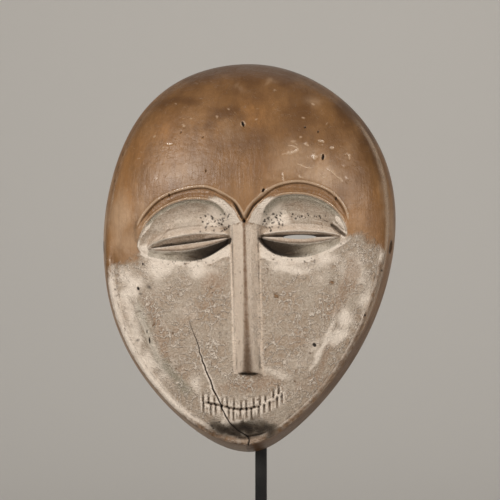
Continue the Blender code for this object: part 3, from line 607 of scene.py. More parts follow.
def crack_depth(x, z):
    """How deep the crack is at each point, and 0 beside it."""
    curve = smooth_curve(CRACK)
    shaken_x = x + 0.35 * ripple(x, z, 2.6, 41)
    gap, along = distance_to(curve, shaken_x, z)
    width = table(CRACK_WIDTHS, along)
    return CRACK_DEPTH * (0.35 + 0.65 * ease(0.0, 30.0, along)) * peak(gap, width) * ease(0.0, 2.0, along)


def pit_depth(x, z):
    """How deep the pits are at each point, and 0 beside them."""
    depth = np.zeros(x.shape)
    for pit_x, pit_z, length, width, turn, deep in PITS:
        angle = math.radians(turn)
        up = (x - pit_x) * math.sin(angle) + (z - pit_z) * math.cos(angle)
        across = (x - pit_x) * math.cos(angle) - (z - pit_z) * math.sin(angle)
        gap = np.hypot(across / (width / 2), up / (length / 2))
        depth = np.maximum(depth, deep * ease(1.25, 0.35, gap))
    return depth


def edge_brows(height, x, z):
    """The crisp lips of the brows: the forehead's edge, a scored line, and the ridge over each socket."""
    nose_length = math.dist(NOSE_TIP, BROW_MEETING)
    parts = zip(ridge_lines(), SOCKETS, EYES, MID_LINES, V_CUTS, (1, -1))
    for curve, socket, eye, mid_line, v_cut, side in parts:
        signed, along = distance_to(curve, x, z)
        inward = signed * side
        length = curve_length(curve)
        on_brow = ease(6.0, 20.0, along - nose_length) * ease(length, length - 10.0, along)
        height = height + on_brow * BROW_LIP[0] * np.exp(-(((inward + 0.7) / BROW_LIP[1]) ** 2))
        height = height - on_brow * BROW_CUT[0] * peak(inward - 0.9, BROW_CUT[1])
        on_band = on_brow * ease(0.3, 1.0, inward) * ease(8.5, 7.0, inward)
        height = height + BAND_TOOLING * on_band * ripple(along * 1.6, inward * 0.35, 1.0, 73 + side)
        inside = distance_to(smooth_curve(socket, closed=True), x, z)[0] * side
        over_eye = ease(7.0, 12.0, z - eye[1]) * ease(11.0, 18.0, np.abs(x))
        height = height + over_eye * SOCKET_RIDGE[0] * np.exp(-(((inside + 0.6) / SOCKET_RIDGE[1]) ** 2))
        height = height - over_eye * SOCKET_CUT[0] * peak(inside - 0.7, SOCKET_CUT[1])
        curve = smooth_curve(mid_line)
        gap, along = distance_to(curve, x, z)
        scored = fade_ends(along, curve_length(curve), 0.15)
        height = height - SCORED_LINE[0] * peak(gap, SCORED_LINE[1]) * scored
        curve = smooth_curve(v_cut[1])
        gap, along = distance_to(curve, x, z)
        length = curve_length(curve)
        height = height - v_cut[0] * peak(gap, 0.5 + 0.35 * v_cut[0]) * ease(length, 0.5 * length, along)
    return height


def open_crevices(height, x, z):
    """The crevice at the right lid's outer corner, and the fine cracks along the creases of both lids."""
    for points, width, depth in CREVICES:
        curve = smooth_curve(points)
        gap, along = distance_to(curve, x + 0.3 * ripple(x, z, 1.8, 51), z)
        height = height - depth * peak(gap, width) * fade_ends(along, curve_length(curve), 0.2)
    return height


def roll_lids(height, x, z):
    """The rolled edge of each upper lid over the parting, and the crease above it."""
    _, up, lens, lid_edge = eye_places(x, z)
    above = up - lid_edge
    on_lid = lens**0.4 * (above > 0.0)
    middle, width, rise = LID_ROLL
    height = height + rise * on_lid * np.exp(-(((above - middle) / width) ** 2))
    middle, width, depth = LID_CREASE
    return height - depth * on_lid * peak(above - middle * lens**0.5, width)


def scratch_depth(x, z, wider=0.0):
    """How deep the scratches and scuffs are at each point, each this much wider on either side."""
    depth = np.zeros(x.shape)
    for points, width, deep in SCRATCHES:
        curve = smooth_curve(points)
        gap, along = distance_to(curve, x + 0.4 * ripple(x, z, 2.2, 71), z + 0.4 * ripple(x, z, 2.2, 72))
        ends = fade_ends(along, curve_length(curve), 0.3)
        depth = np.maximum(depth, deep * peak(gap, width + wider) * ends)
    for (low_x, low_z, high_x, high_z), count, steepest, seed in SCRATCH_FIELDS:
        draw = np.random.default_rng(seed)
        for _ in range(count):
            middle_x, middle_z = draw.uniform(low_x, high_x), draw.uniform(low_z, high_z)
            turn = math.radians(draw.uniform(-steepest, steepest))
            half_length, deep = draw.uniform(0.8, 3.2), draw.uniform(0.05, 0.2)
            along = (x - middle_x) * math.cos(turn) + (z - middle_z) * math.sin(turn)
            across = (z - middle_z) * math.cos(turn) - (x - middle_x) * math.sin(turn)
            across = across + 0.15 * np.sin(along * 1.9)
            ends = ease(half_length, 0.4 * half_length, np.abs(along))
            depth = np.maximum(depth, deep * peak(across, 0.3 + wider) * ends)
    return depth


def pockmarks(x, z):
    """Depth of the small holes that pit the sockets' inner corners, the cheek edges and the lower face."""
    depth = np.zeros(x.shape)
    for (low_x, low_z, high_x, high_z), count, radius, deep, seed in POCKMARKS:
        draw = np.random.default_rng(seed)
        for _ in range(count):
            mark_x, mark_z = draw.uniform(low_x, high_x), draw.uniform(low_z, high_z)
            size = radius * draw.uniform(0.6, 1.3)
            near = np.hypot(x - mark_x, (z - mark_z) * 0.8)
            depth = np.maximum(depth, deep * ease(1.3 * size, 0.3 * size, near))
    return depth


def roughen(height, x, z):
    """Uneven hand carving and wear over the whole face."""
    for rise, size, seed in UNEVENNESS:
        height = height + rise * ripple(x, z, size, seed)
    return height


def carved_front(x, z):
    """The height of the face with its fine relief."""
    height = edge_brows(main_forms(x, z), x, z)
    height = open_crevices(roll_lids(height, x, z), x, z)
    height = roughen(height, x, z)
    rubbed = edge_drop(z) * np.clip(1.0 - inward_of_edge(x, z) / EDGE_ROUNDING, 0.0, 1.0) ** 2
    return height - rubbed - crack_depth(x, z) - pit_depth(x, z) - pockmarks(x, z) - scratch_depth(x, z)


def hollow_back(x, z):
    """The height of the hollow behind the face, with the flat cuts of the gouge."""
    share = np.clip(reach(x, z) / HOLLOW_REACH, 0.0, 1.0)
    cuts = np.abs(ripple(x, z, 9.0, 31)) + 0.5 * np.abs(ripple(x, z, 4.0, 32))
    return smooth_table(HOLLOW_HEIGHT, z) * (1.0 - share**4) ** 0.55 + GOUGE_DEPTH * cuts * ease(1.0, 0.9, share)


def place_at_reach(share, x, z):
    """Moves points along their own spoke of the egg, to this reach."""
    scale = share / reach(x, z)
    return x / half_width(x, z) * scale * half_width(x, z * scale), z * scale


def wanted_length(x, z):
    """How long a mesh edge may be at each point of the face, for the carving there."""
    length = np.full(x.shape, BASE_EDGE)

    def need(edge, where):
        np.minimum(length, np.where(where, edge, BASE_EDGE), out=length)

    for curve, side in zip(ridge_lines(), (1, -1)):
        gap, _ = distance_to(curve, x, z)
        need(FINE_EDGE * 2, (gap * side > -2.0) & (gap * side < 8.5))
        need(FINE_EDGE, np.abs(gap) < 1.2)
    for points in SOCKETS:
        gap, _ = distance_to(smooth_curve(points, closed=True), x, z)
        need(FINE_EDGE * 2, np.abs(gap) < 4.0)
        need(FINE_EDGE, np.abs(gap) < 1.5)
    for middle_x, middle_z, half_length, *_ in EYES:
        need(FINE_EDGE * 2, np.hypot((x - middle_x) / half_length, (z - middle_z) / 16.0) < 1.0)
        need(FINE_EDGE, np.hypot((x - middle_x) / half_length, (z - middle_z) / 5.0) < 1.0)
    need(FINE_EDGE, np.abs(distance_to(smooth_curve(MOUTH_LINE), x, z)[0]) < 7.5)
    need(FINE_EDGE * 2, np.abs(distance_to(smooth_curve(CHIN_GROOVE), x, z)[0]) < 5.0)
    need(FINE_EDGE, np.abs(distance_to(smooth_curve(CRACK), x, z)[0]) < 1.3)
    lines = [*MID_LINES, *(line for _, line in V_CUTS), *(line for line, *_ in CREVICES)]
    for line in (*lines, *(line for line, *_ in SCRATCHES)):
        need(FINE_EDGE, np.abs(distance_to(smooth_curve(line), x, z)[0]) < 1.2)
    for pit_x, pit_z, pit_length, *_ in PITS:
        need(FINE_EDGE, np.hypot(x - pit_x, z - pit_z) < pit_length * 0.5 + 0.8)
    return length


def coordinates(verts):
    return np.array([vert.co[:] for vert in verts])


def set_coordinates(verts, x, y, z):
    for vert, place in zip(verts, np.column_stack([x, y, z]).tolist()):
        vert.co = place


def carry_border(bm, border, share_at, height_at):
    """Extrudes the open border to the reach and the height that the two functions give."""
    made = bmesh.ops.extrude_edge_only(bm, edges=border)["geom"]
    verts = [item for item in made if isinstance(item, bmesh.types.BMVert)]
    x, _, z = coordinates(verts).T
    new_x, new_z = place_at_reach(share_at(z), x, z)
    set_coordinates(verts, new_x, -height_at(new_x, new_z), new_z)
    return [item for item in made if isinstance(item, bmesh.types.BMEdge)]


def close_border(bm, border):
    """Fills the last ring with a fan about its middle."""
    faces = bmesh.ops.contextual_create(bm, geom=border)["faces"]
    bmesh.ops.poke(bm, faces=faces)


def settle_order(bm):
    """Sorts the mesh's elements by place, because extruding leaves them in no fixed order."""

    def rank(x, y, z):
        return round(z * 1e3) * 1e8 + round(x * 1e3) * 10 + y * 0.1

    set_coordinates(bm.verts, *np.round(coordinates(bm.verts), 3).T)
    bm.verts.sort(key=lambda vert: rank(*vert.co))
    bm.edges.sort(key=lambda edge: rank(*(edge.verts[0].co + edge.verts[1].co)))
    bm.faces.sort(key=lambda face: rank(*face.calc_center_median()))


def flat_face(bm):
    """The face's egg, laid flat in rings, with shorter edges where the carving is fine."""
    made = bmesh.ops.create_circle(bm, cap_ends=False, segments=SPOKES, radius=1.0)
    u, v, _ = coordinates(made["verts"]).T
    x, z = place_on_egg(u, v)
    x, z = place_at_reach(edge_reach(z), x, z)
    set_coordinates(made["verts"], x, 0.0 * x, z)
    border = bm.edges[:]
    inwards = [CHAMFER_WIDTH / 2, CHAMFER_WIDTH, CHAMFER_WIDTH + 0.7,
               *np.linspace(CHAMFER_WIDTH + 2.4, FACE_WIDTH - 2.0, RINGS)]
    for inward in inwards:
        share = 1.0 - inward / FACE_WIDTH
        border = carry_border(bm, border, lambda z: share * edge_reach(z), lambda x, z: 0.0 * x)
    close_border(bm, border)
    settle_order(bm)
    for _ in range(4):
        edges = bm.edges[:]
        starts = coordinates(edge.verts[0] for edge in edges)
        ends = coordinates(edge.verts[1] for edge in edges)
        middle = (starts + ends) / 2
        too_long = np.linalg.norm(ends - starts, axis=1) > 1.4 * wanted_length(middle[:, 0], middle[:, 2])
        long_edges = [edge for edge, chosen in zip(edges, too_long) if chosen]
        bmesh.ops.subdivide_edges(bm, edges=long_edges, cuts=1, use_grid_fill=True)
    bmesh.ops.triangulate(bm, faces=bm.faces[:])


def wall_reach(share, z):
    """The reach of the side wall at this share of its height: straight below, and rounded over the forehead."""
    bend = 1.4 + 2.0 * ease(-10.0, 40.0, z)
    return 1.0 - (1.0 - edge_reach(z)) * share**bend


def mask_mesh():
    """The closed mesh of the mask, in millimetres about its own middle."""
    bm = bmesh.new()
    flat_face(bm)
    front = bm.verts[:]
    x, _, z = coordinates(front).T
    set_coordinates(front, x, -carved_front(x, z), z)
    border = [edge for edge in bm.edges if edge.is_boundary]
    for share in np.linspace(0.96, 0.1, WALL_RINGS):
        border = carry_border(bm, border, lambda z: wall_reach(share, z), lambda x, z: share * edge_height(z))
    for reach_share, height_share in ((1.0, 0.05), (1.0 - RIM_ROUNDING, 0.0), (HOLLOW_REACH + RIM_ROUNDING, 0.0)):
        border = carry_border(bm, border, lambda z: reach_share, lambda x, z: height_share * edge_height(z))
    for ring in range(HOLLOW_RINGS):
        share = HOLLOW_REACH * math.cos(math.pi / 2 * ring / HOLLOW_RINGS)
        border = carry_border(bm, border, lambda z: share, hollow_back)
    close_border(bm, border)
    bmesh.ops.triangulate(bm, faces=bm.faces[:])
    settle_order(bm)
    return place_on_stand(bm, "mask_carved")


def place_on_stand(bm, name):
    """Writes the mesh out, moved from the mask's own millimetres to metres on the stand."""
    bm.normal_update()
    bmesh.ops.recalc_face_normals(bm, faces=bm.faces[:])
    x, y, z = coordinates(bm.verts).T * MM
    set_coordinates(bm.verts, x * KEPT_INSIDE, BACK_RIM_Y * MM + y, MASK_MIDDLE_Z * MM + z * KEPT_INSIDE)
    return new_mesh(bm, name)


def new_mesh(bm, name):
    mesh = bpy.data.meshes.new(name)
    bm.to_mesh(mesh)
    bm.free()
    return mesh


def eye_slot(number):
    """A lens-shaped prism that pierces the wall in the parting of one eye."""
    middle_x, middle_z, _, tilt, _ = EYES[number]
    length, height, slant = EYE_SLOTS[number]
    bm = bmesh.new()
    bmesh.ops.create_cone(bm, cap_ends=True, segments=28, radius1=1.0, radius2=1.0,
                          depth=EYE_CUTTER_LENGTH)
    across, up, depth = coordinates(bm.verts).T
    x = middle_x + across * length / 2
    z = middle_z + EYE_SLOT_RISE[number] + up * height / 2
    z = z + (x - middle_x) * math.tan(math.radians(tilt)) + depth * math.tan(math.radians(slant))
    set_coordinates(bm.verts, x, -PARTING_HEIGHT - depth, z)
    return place_on_stand(bm, f"eye_slot_{number}")


def cord_hole(side):
    """A cylinder through the side wall at ear level."""
    height, z = CORD_HOLE_PLACE
    bm = bmesh.new()
    radius = CORD_HOLE_DIAMETER / 2
    bmesh.ops.create_cone(bm, cap_ends=True, segments=32, radius1=radius, radius2=radius,
                          depth=CORD_CUTTER_LENGTH)
    across, up, depth = coordinates(bm.verts).T
    set_coordinates(bm.verts, side * (WALL_MIDDLE_X + depth), -height + across, z + up)
    return place_on_stand(bm, "cord_hole_left" if side < 0 else "cord_hole_right")


def combine(obj, meshes, operation):
    """Cuts the meshes out of the object, or joins them on, and keeps only the result."""
    tools = []
    for mesh in meshes:
        tool = bpy.data.objects.new(mesh.name, mesh)
        bpy.context.scene.collection.objects.link(tool)
        boolean = obj.modifiers.new(mesh.name, "BOOLEAN")
        boolean.operation = operation
        boolean.object = tool
        tools.append(tool)
    graph = bpy.context.evaluated_depsgraph_get()
    mesh = bpy.data.meshes.new_from_object(obj.evaluated_get(graph))
    obj.modifiers.clear()
    raw = obj.data
    obj.data = mesh
    bpy.data.meshes.remove(raw)
    for tool in tools:
        bpy.data.meshes.remove(tool.data)


def carry_faces(bm, faces):
    """Extrudes the end faces of a bar in place, and returns the new ones and their points."""
    made = bmesh.ops.extrude_face_region(bm, geom=faces)["geom"]
    bmesh.ops.delete(bm, geom=faces, context="FACES_ONLY")
    faces = [item for item in made if isinstance(item, bmesh.types.BMFace)]
    return faces, [item for item in made if isinstance(item, bmesh.types.BMVert)]


def bent_bar_mesh(foot, elbow, tip_y):
    """A square bar that rises from its foot, bends forward at the elbow and ends at tip_y."""
    bend_radius = BAR_BEND_RADIUS * MM
    bm = bmesh.new()
    bmesh.ops.create_grid(bm, x_segments=1, y_segments=1, size=BAR_SIDE * MM / 2)
    bmesh.ops.translate(bm, vec=foot, verts=bm.verts)
    faces, verts = carry_faces(bm, bm.faces[:])
    bmesh.ops.translate(bm, vec=(0, 0, elbow.z - bend_radius - foot.z), verts=verts)
    centre = elbow - Vector((0, bend_radius, bend_radius))
    turn = Matrix.Rotation(math.pi / 2 / BEND_STEPS, 3, "X")
    for _ in range(BEND_STEPS):
        faces, verts = carry_faces(bm, faces)
        bmesh.ops.rotate(bm, cent=centre, matrix=turn, verts=verts)
    _, verts = carry_faces(bm, faces)
    bmesh.ops.translate(bm, vec=(0, tip_y - centre.y, 0), verts=verts)
    bmesh.ops.holes_fill(bm, edges=[edge for edge in bm.edges if edge.is_boundary])
    bmesh.ops.recalc_face_normals(bm, faces=bm.faces[:])
    return new_mesh(bm, "stand_bar")


def crossbar_mesh(middle):
    side = BAR_SIDE * MM
    bm = bmesh.new()
    bmesh.ops.create_cube(bm, size=1.0)
    bmesh.ops.scale(bm, vec=(CROSSBAR_LENGTH * MM, side, side), verts=bm.verts)
    bmesh.ops.translate(bm, vec=middle, verts=bm.verts)
    return new_mesh(bm, "stand_crossbar")


def round_edges(mesh):
    """Joins the flats that the union split, and rounds the bar's long edges."""
    bm = bmesh.new()
    bm.from_mesh(mesh)
    bmesh.ops.dissolve_limit(bm, angle_limit=math.radians(1.0), verts=bm.verts[:], edges=bm.edges[:])
    sharp = [edge for edge in bm.edges if edge.calc_face_angle(0.0) > SHARP_ANGLE]
    bmesh.ops.bevel(bm, geom=sharp, offset=BAR_EDGE * MM, segments=3, affect="EDGES", profile=0.5, material=-1)
    bmesh.ops.recalc_face_normals(bm, faces=bm.faces[:])
    bm.to_mesh(mesh)
    bm.free()


def relief_map():
    """The carved face's heights on an even grid, with how far each spot lies below its surroundings."""
    across = np.arange(-MAP_HALF_WIDTH, MAP_HALF_WIDTH, MAP_STEP)
    up = np.arange(-MAP_HALF_HEIGHT, MAP_HALF_HEIGHT, MAP_STEP)
    x, z = np.meshgrid(across, up, indexing="ij")
    heights = carved_front(x, z) - OUTER_FALL * np.clip(-inward_of_edge(x, z), 0.0, None)
    waves_x = np.fft.fftfreq(len(across), MAP_STEP)[:, None]
    waves_z = np.fft.rfftfreq(len(up), MAP_STEP)
    spectrum = np.fft.rfft2(heights)
    hollows = []
    for radius in HOLLOW_RADII:
        blur = np.exp(-2.0 * (math.pi * radius) ** 2 * (waves_x**2 + waves_z**2))
        hollows.append(np.fft.irfft2(spectrum * blur, x.shape) - heights)
    return across[0], up[0], hollows


def read_map(relief, number, x, z):
    """How far each point lies below its surroundings, at one of the map's radii."""
    first_x, first_z, hollows = relief
    field = hollows[number]
    u = np.clip((x - first_x) / MAP_STEP, 0, field.shape[0] - 1.001)
    v = np.clip((z - first_z) / MAP_STEP, 0, field.shape[1] - 1.001)
    i, j = u.astype(int), v.astype(int)
    s, t = u - i, v - j
    low = field[i, j] + (field[i + 1, j] - field[i, j]) * s
    high = field[i, j + 1] + (field[i + 1, j + 1] - field[i, j + 1]) * s
    return low + (high - low) * t


def nose_and_brows(x, z):
    """For each point, how far it lies off the nearer ridge line, and its place past the brows' meeting."""
    nose_length = math.dist(NOSE_TIP, BROW_MEETING)
    best = None
    for curve, side in zip(ridge_lines(), (1, -1)):
        signed, along = distance_to(curve, x, z)
        found = (signed * side, along - nose_length)
        if best is None:
            best = found
        else:
            closer = np.abs(found[0]) < np.abs(best[0])
            best = tuple(np.where(closer, new, old) for new, old in zip(found, best))
    return best


def in_sockets(x, z):
    """How far each point lies inside the nearer eye socket; negative outside both."""
    curves = (smooth_curve(points, closed=True) for points in SOCKETS)
    return np.maximum(*(distance_to(curve, x, z)[0] * side for curve, side in zip(curves, (1, -1))))


def blotches(x, z, spots):
    """Soft uneven blotches: the middle in x and z, half width and half height, and strength of each."""
    warped_x = x + 3.5 * ripple(x, z, 9.0, 81) + 1.2 * ripple(x, z, 3.0, 83)
    warped_z = z + 3.5 * ripple(x, z, 9.0, 82) + 1.2 * ripple(x, z, 3.0, 84)
    share = np.zeros(x.shape)
    for spot_x, spot_z, half_x, half_z, strength in spots:
        gap = ((warped_x - spot_x) / half_x) ** 2 + ((warped_z - spot_z) / half_z) ** 2
        share = np.maximum(share, strength * np.exp(-gap))
    return share


def stains(x, z, lines):
    """Soft uneven stains along lines: the line, its half width and its strength."""
    share = np.zeros(x.shape)
    for points, width, strength in lines:
        curve = smooth_curve(points)
        gap, along = distance_to(curve, x + 1.4 * ripple(x, z, 6.0, 85), z)
        ends = fade_ends(along, curve_length(curve), 0.25)
        share = np.maximum(share, strength * ends * np.exp(-((gap / width) ** 2)))
    return share


def eye_places(x, z):
    """For the nearer eye: how far each point lies towards the nose and above the eye's middle line, the
    lids' lens there, and how high the upper lid's edge is."""
    number = (x > 0).astype(int)
    middle_x, middle_z, half_length, tilt, parting = (np.array(values)[number] for values in zip(*EYES))
    turn = np.radians(tilt)
    across = (x - middle_x) * np.cos(turn) + (z - middle_z) * np.sin(turn)
    up = (z - middle_z) * np.cos(turn) - (x - middle_x) * np.sin(turn)
    lens = np.clip(1.0 - (across / half_length) ** 2, 0.0, 1.0)
    return across * -np.sign(middle_x), up, lens, parting * lens**PARTING_ARCH


def in_cord_hole(x, h, z):
    """1 on the walls of the two cord holes, and 0 elsewhere."""
    height, up = CORD_HOLE_PLACE
    near_wall = np.hypot(h - height, z - up) < CORD_HOLE_DIAMETER / 2 + HOLE_WALL_TOLERANCE
    return near_wall & (np.abs(x) > SIDE_WALL_FROM_X)


def finish_shares(x, h, z):
    """The share of each finish, painted highlight and painted shade at each point of the mask, from 0 to 1."""
    relief = relief_map()
    fine, middle, wide = (read_map(relief, number, x, z) for number in range(len(HOLLOW_RADII)))
    front = h > carved_front(x, z) - 0.4
    inward = inward_of_edge(x, z)
    off_ridge, past_meeting = nose_and_brows(x, z)
    socket = in_sockets(x, z)
    towards_nose, up, lens, lid_edge = eye_places(x, z)
    on_nose = ease(3.0, -5.0, past_meeting) * (z > NOSE_TIP[1] - 1.0)
    crest = np.exp(-((off_ridge / table(CREST_WIDTHS, z)) ** 2)) * on_nose
    flank = ease(9.5, 7.5, np.abs(off_ridge)) * on_nose
    at_foot = ease(4.8, 5.6, np.abs(off_ridge)) * ease(10.0, 8.5, np.abs(off_ridge)) * on_nose
    by_v = ease(1.4, 3.0, off_ridge) * ease(34.0, 16.0, past_meeting) * (past_meeting >= 0.0) * (off_ridge > 0.0)
    by_v = by_v * ease(30.0, 22.0, np.abs(x)) * ease(36.0, 30.0, z)
    on_brow = ease(12.0, 20.0, past_meeting) * ease(9.0, 7.0, np.abs(off_ridge - 3.0))
    by_mouth = ease(11.0, 8.0, np.abs(z - MUZZLE_MIDDLE_Z)) * ease(32.0, 27.0, np.abs(x))
    edge = z - table(CLAY_EDGE, x) - 3.0 * ripple(x, z, 9.0, 21) - 1.5 * ripple(x, z, 3.0, 22)
    below = ease(8.0, -6.0, edge)
    chamfer = ease(3.4, 2.6, inward) * ease(-0.3, 0.3, inward) * ease(4.0, -6.0, z)
    rough_side = chamfer * np.maximum(ease(-12.0, 25.0, x), ease(-84.0, -98.0, z))
    clay = np.maximum.reduce([below, ease(-0.3, 0.6, socket), flank, by_v])
    clay = clay * (1.0 - 0.62 * crest) * (1.0 - 0.5 * rough_side) * front * ease(-0.4, 0.4, inward)
    # The parting between each eye's lids, and the pierced slit in it, are given painted shade below
    in_parting = ease(lid_edge + 0.1, lid_edge - 0.5, up) * ease(-0.7, -0.1, up) * (lens > 0.02)
    # Painted shade under each lower lid, strongest towards the nose
    under_lid = ease(-3.0 * lens - 0.3, -4.4 * lens - 0.6, up) * (socket > 0.4)
    under_lid = under_lid * ease(-14.0, 14.0, towards_nose)
    # Painted shade under the mouth
    chin = blotches(x, z, CHIN_SHADE)
    cut = ease(0.14, 0.7, fine) * (1.0 - 0.9 * at_foot) * (1.0 - 0.45 * on_brow)
    foot_line = 0.5 * np.exp(-(((np.abs(off_ridge) - 7.2) / 0.7) ** 2)) * on_nose * ease(-60.0, -40.0, z)
    slit = in_parting * ease(1.5, 0.8, up) * ease(0.4, 0.7, lens)
    lid_foot = np.exp(-(((up + 3.3 * lens + 0.2) / 0.9) ** 2)) * (lens > 0.03) * (socket > -0.5)
    in_recess = ease(-3.6 * lens - 0.3, -3.6 * lens - 1.2, up) * (socket > 0.0) * (lens > 0.0)
    # Brown dirt in the cuts, along the listed lines, on the rough chamfer and on the nose's crest; darker along the
    # feet of the nose and the lower lids and in the wider hollows; painted shade in the partings, at the slits, under
    # the lower lids and under the chin
    dirt_and_shade = np.maximum.reduce([cut, 0.6 * ease(0.7, 2.0, middle), 0.4 * in_parting, 0.8 * slit, under_lid,
                              0.6 * lid_foot, chin, stains(x, z, DIRT_LINES), foot_line, 0.4 * rough_side,
                              (0.3 + 0.45 * ease(-30.0, -64.0, z)) * crest])
    dirt_and_shade = dirt_and_shade * (1.0 - 0.7 * stains(x, z, PALE_LINES))
    scuffed = ease(0.01, 0.12, scratch_depth(x, z, 0.25)) * (z > 30.0)
    dirt_and_shade = dirt_and_shade * (1.0 - 0.8 * scuffed)
    # Near-black painted shade in the deep cuts and the mouth's gouges, the crack, the pits and pockmarks, the slits,
    # under the chin and under the lower lids
    deep = ease(0.5, 1.1, fine) * (1.0 - at_foot) * (1.0 - on_brow)
    deep = np.maximum(deep, 0.95 * by_mouth * ease(0.3, 0.75, fine))
    painted_deep_shade = np.maximum.reduce([0.9 * ease(0.2, 0.9, crack_depth(x, z)), ease(0.2, 0.6, pit_depth(x, z)),
                               0.85 * ease(0.12, 0.4, pockmarks(x, z)), 0.9 * deep, 0.7 * slit, 0.9 * chin,
                               (0.5 + 0.2 * (x < 0.0)) * under_lid])
    upper = ease(-0.5, 1.0, up - lid_edge) * ease(7.0, 1.5, up - lid_edge) * (lens > 0.03)
    lower = ease(-4.4 * lens, -3.6 * lens, up) * ease(-0.6, -1.6, up) * (lens > 0.03)
    lids = np.maximum(upper, lower) * (socket > 0.0)
    # Raised spots: worn wood where the wood is bare, and a painted highlight on the clay
    raised = ease(-0.05, -0.24, fine)
    # Wood worn on raised spots and scuffs, and a painted highlight along the lower edge of the upper lids
    wear_and_highlight = np.maximum.reduce([raised * (1.0 - clay) * (1.0 - on_nose), scuffed * (1.0 - clay),
                              0.5 * upper * (socket > 0.0) * ease(32.0, 12.0, towards_nose)])
    wall = ease(-0.2, -0.8, inward) * (h > 0.5)
    # A worn light line down the right front edge, with a painted highlight on it
    edge_wear_and_highlight = np.exp(-(((inward - 0.2) / 0.8) ** 2)) * (x > 0.0) * (h > 15.0)
    edge_wear_and_highlight = edge_wear_and_highlight * ease(-60.0, -30.0, z) * ease(90.0, 60.0, z)
    by_ridge = ease(-3.0, -1.5, socket) * ease(2.0, 0.5, socket) * ease(6.0, 10.0, z)
    pale_rim = ease(-0.1, -0.3, middle) * (1.0 - 0.65 * by_mouth) * (1.0 - rough_side) * (1.0 - 0.8 * by_ridge)
    ceiling = ease(0.0, 0.8, socket) * ease(7.0, 1.0, socket) * ease(8.0, 14.0, up)
    # Painted shade on each socket's ceiling just under its ridge
    under_ridge = ease(0.0, 0.6, socket) * ease(3.2, 1.0, socket) * ease(10.0, 15.0, up)
    over_lids = (0.15 + 0.25 * (x < 0.0)) * ease(2.0, 5.0, socket) * ease(7.0, 10.0, up)
    left_band = 0.95 * ease(5.0, 3.0, inward) * (inward > 0.0) * (x < 0.0) * ease(4.0, -6.0, z)
    return {
        "clay": clay,
        "dirt_and_shade": dirt_and_shade * front,
        # Painted shade also on the walls of the cord holes
        "painted_deep_shade": np.maximum(painted_deep_shade * front, 0.8 * in_cord_hole(x, h, z)),
        "wear_and_highlight": np.maximum(wear_and_highlight * front, edge_wear_and_highlight),
        "lids": lids * front,
        # Greenish clay on the ceilings, in the recesses under the lids and in stains, darker deep in the sockets,
        # with painted shade under the sockets' ridges and under the chin
        "green_clay_and_shade": np.maximum.reduce([(0.3 + 0.2 * (x > 0.0)) * ease(1.0, 6.0, wide) * (socket > 0.0) * (up > 0.0),
                                   chin, (0.3 + 0.45 * (x > 0.0)) * ceiling, 0.6 * in_recess, 0.9 * under_ridge,
                                   stains(x, z, GREEN_STAINS)]) * front,
        # Dark blotches in the wood and the brown crest, with painted shade on the lower right of the side wall
        "dark_wood_and_shade": np.maximum.reduce([blotches(x, z, DARK_PATCHES), 0.6 * crest,
                                   0.6 * wall * ease(-45.0, -95.0, z - 0.6 * x)]),
        # Paler wood, with painted highlights on the forehead and the right edge, and painted light on the left side
        # wall
        "light": np.maximum.reduce([blotches(x, z, PALE_WOOD_AND_HIGHLIGHT_PATCHES), edge_wear_and_highlight,
                                    wall * (0.5 + 0.4 * ripple(h, z, 7.0, 87)) * (x < 0.0) * ease(75.0, 30.0, z)]),
        "warm": np.maximum(blotches(x, z, WARM_PATCHES), wall * (0.7 + 0.3 * ripple(h, z, 9.0, 88))),
        "pink": np.maximum(flank * (1.0 - crest) * (1.0 - foot_line), 0.6 * lids) * front,
        "rubbed": np.maximum.reduce([blotches(x, z, RUBBED_PATCHES), stains(x, z, BROWN_STAINS), 1.3 * crest,
                                     0.7 * lower * (socket > 0.0), 0.35 * flank * (off_ridge > 0.0) * (x > 1.0),
                                     0.6 * rough_side, 0.5 * in_parting]),
        "crusted": ease(0.5, -1.5, socket) * front,
        # Pale thick clay, paler on the rims of hollows, with a painted highlight on raised clay
        "pale_clay_and_highlight": np.maximum.reduce([blotches(x, z, PALE_PATCHES), over_lids, pale_rim, 0.75 * by_v,
                                   0.9 * flank * (1.0 - crest) * (x < 1.0), 0.45 * flank * (1.0 - crest),
                                   stains(x, z, PALE_LINES), left_band * (1.0 - rough_side),
                                   0.9 * raised * (1.0 - at_foot)]) * front * (1.0 - 0.6 * lower),
        "inside": np.where(front, 0.0, ease(HOLLOW_REACH + 0.02, HOLLOW_REACH, reach(x, z))),
    }


def store_shares(mesh, shares):
    for name, share in shares.items():
        attribute = mesh.attributes.new(name, "FLOAT", "POINT")
        attribute.data.foreach_set("value", share.astype(np.float32))


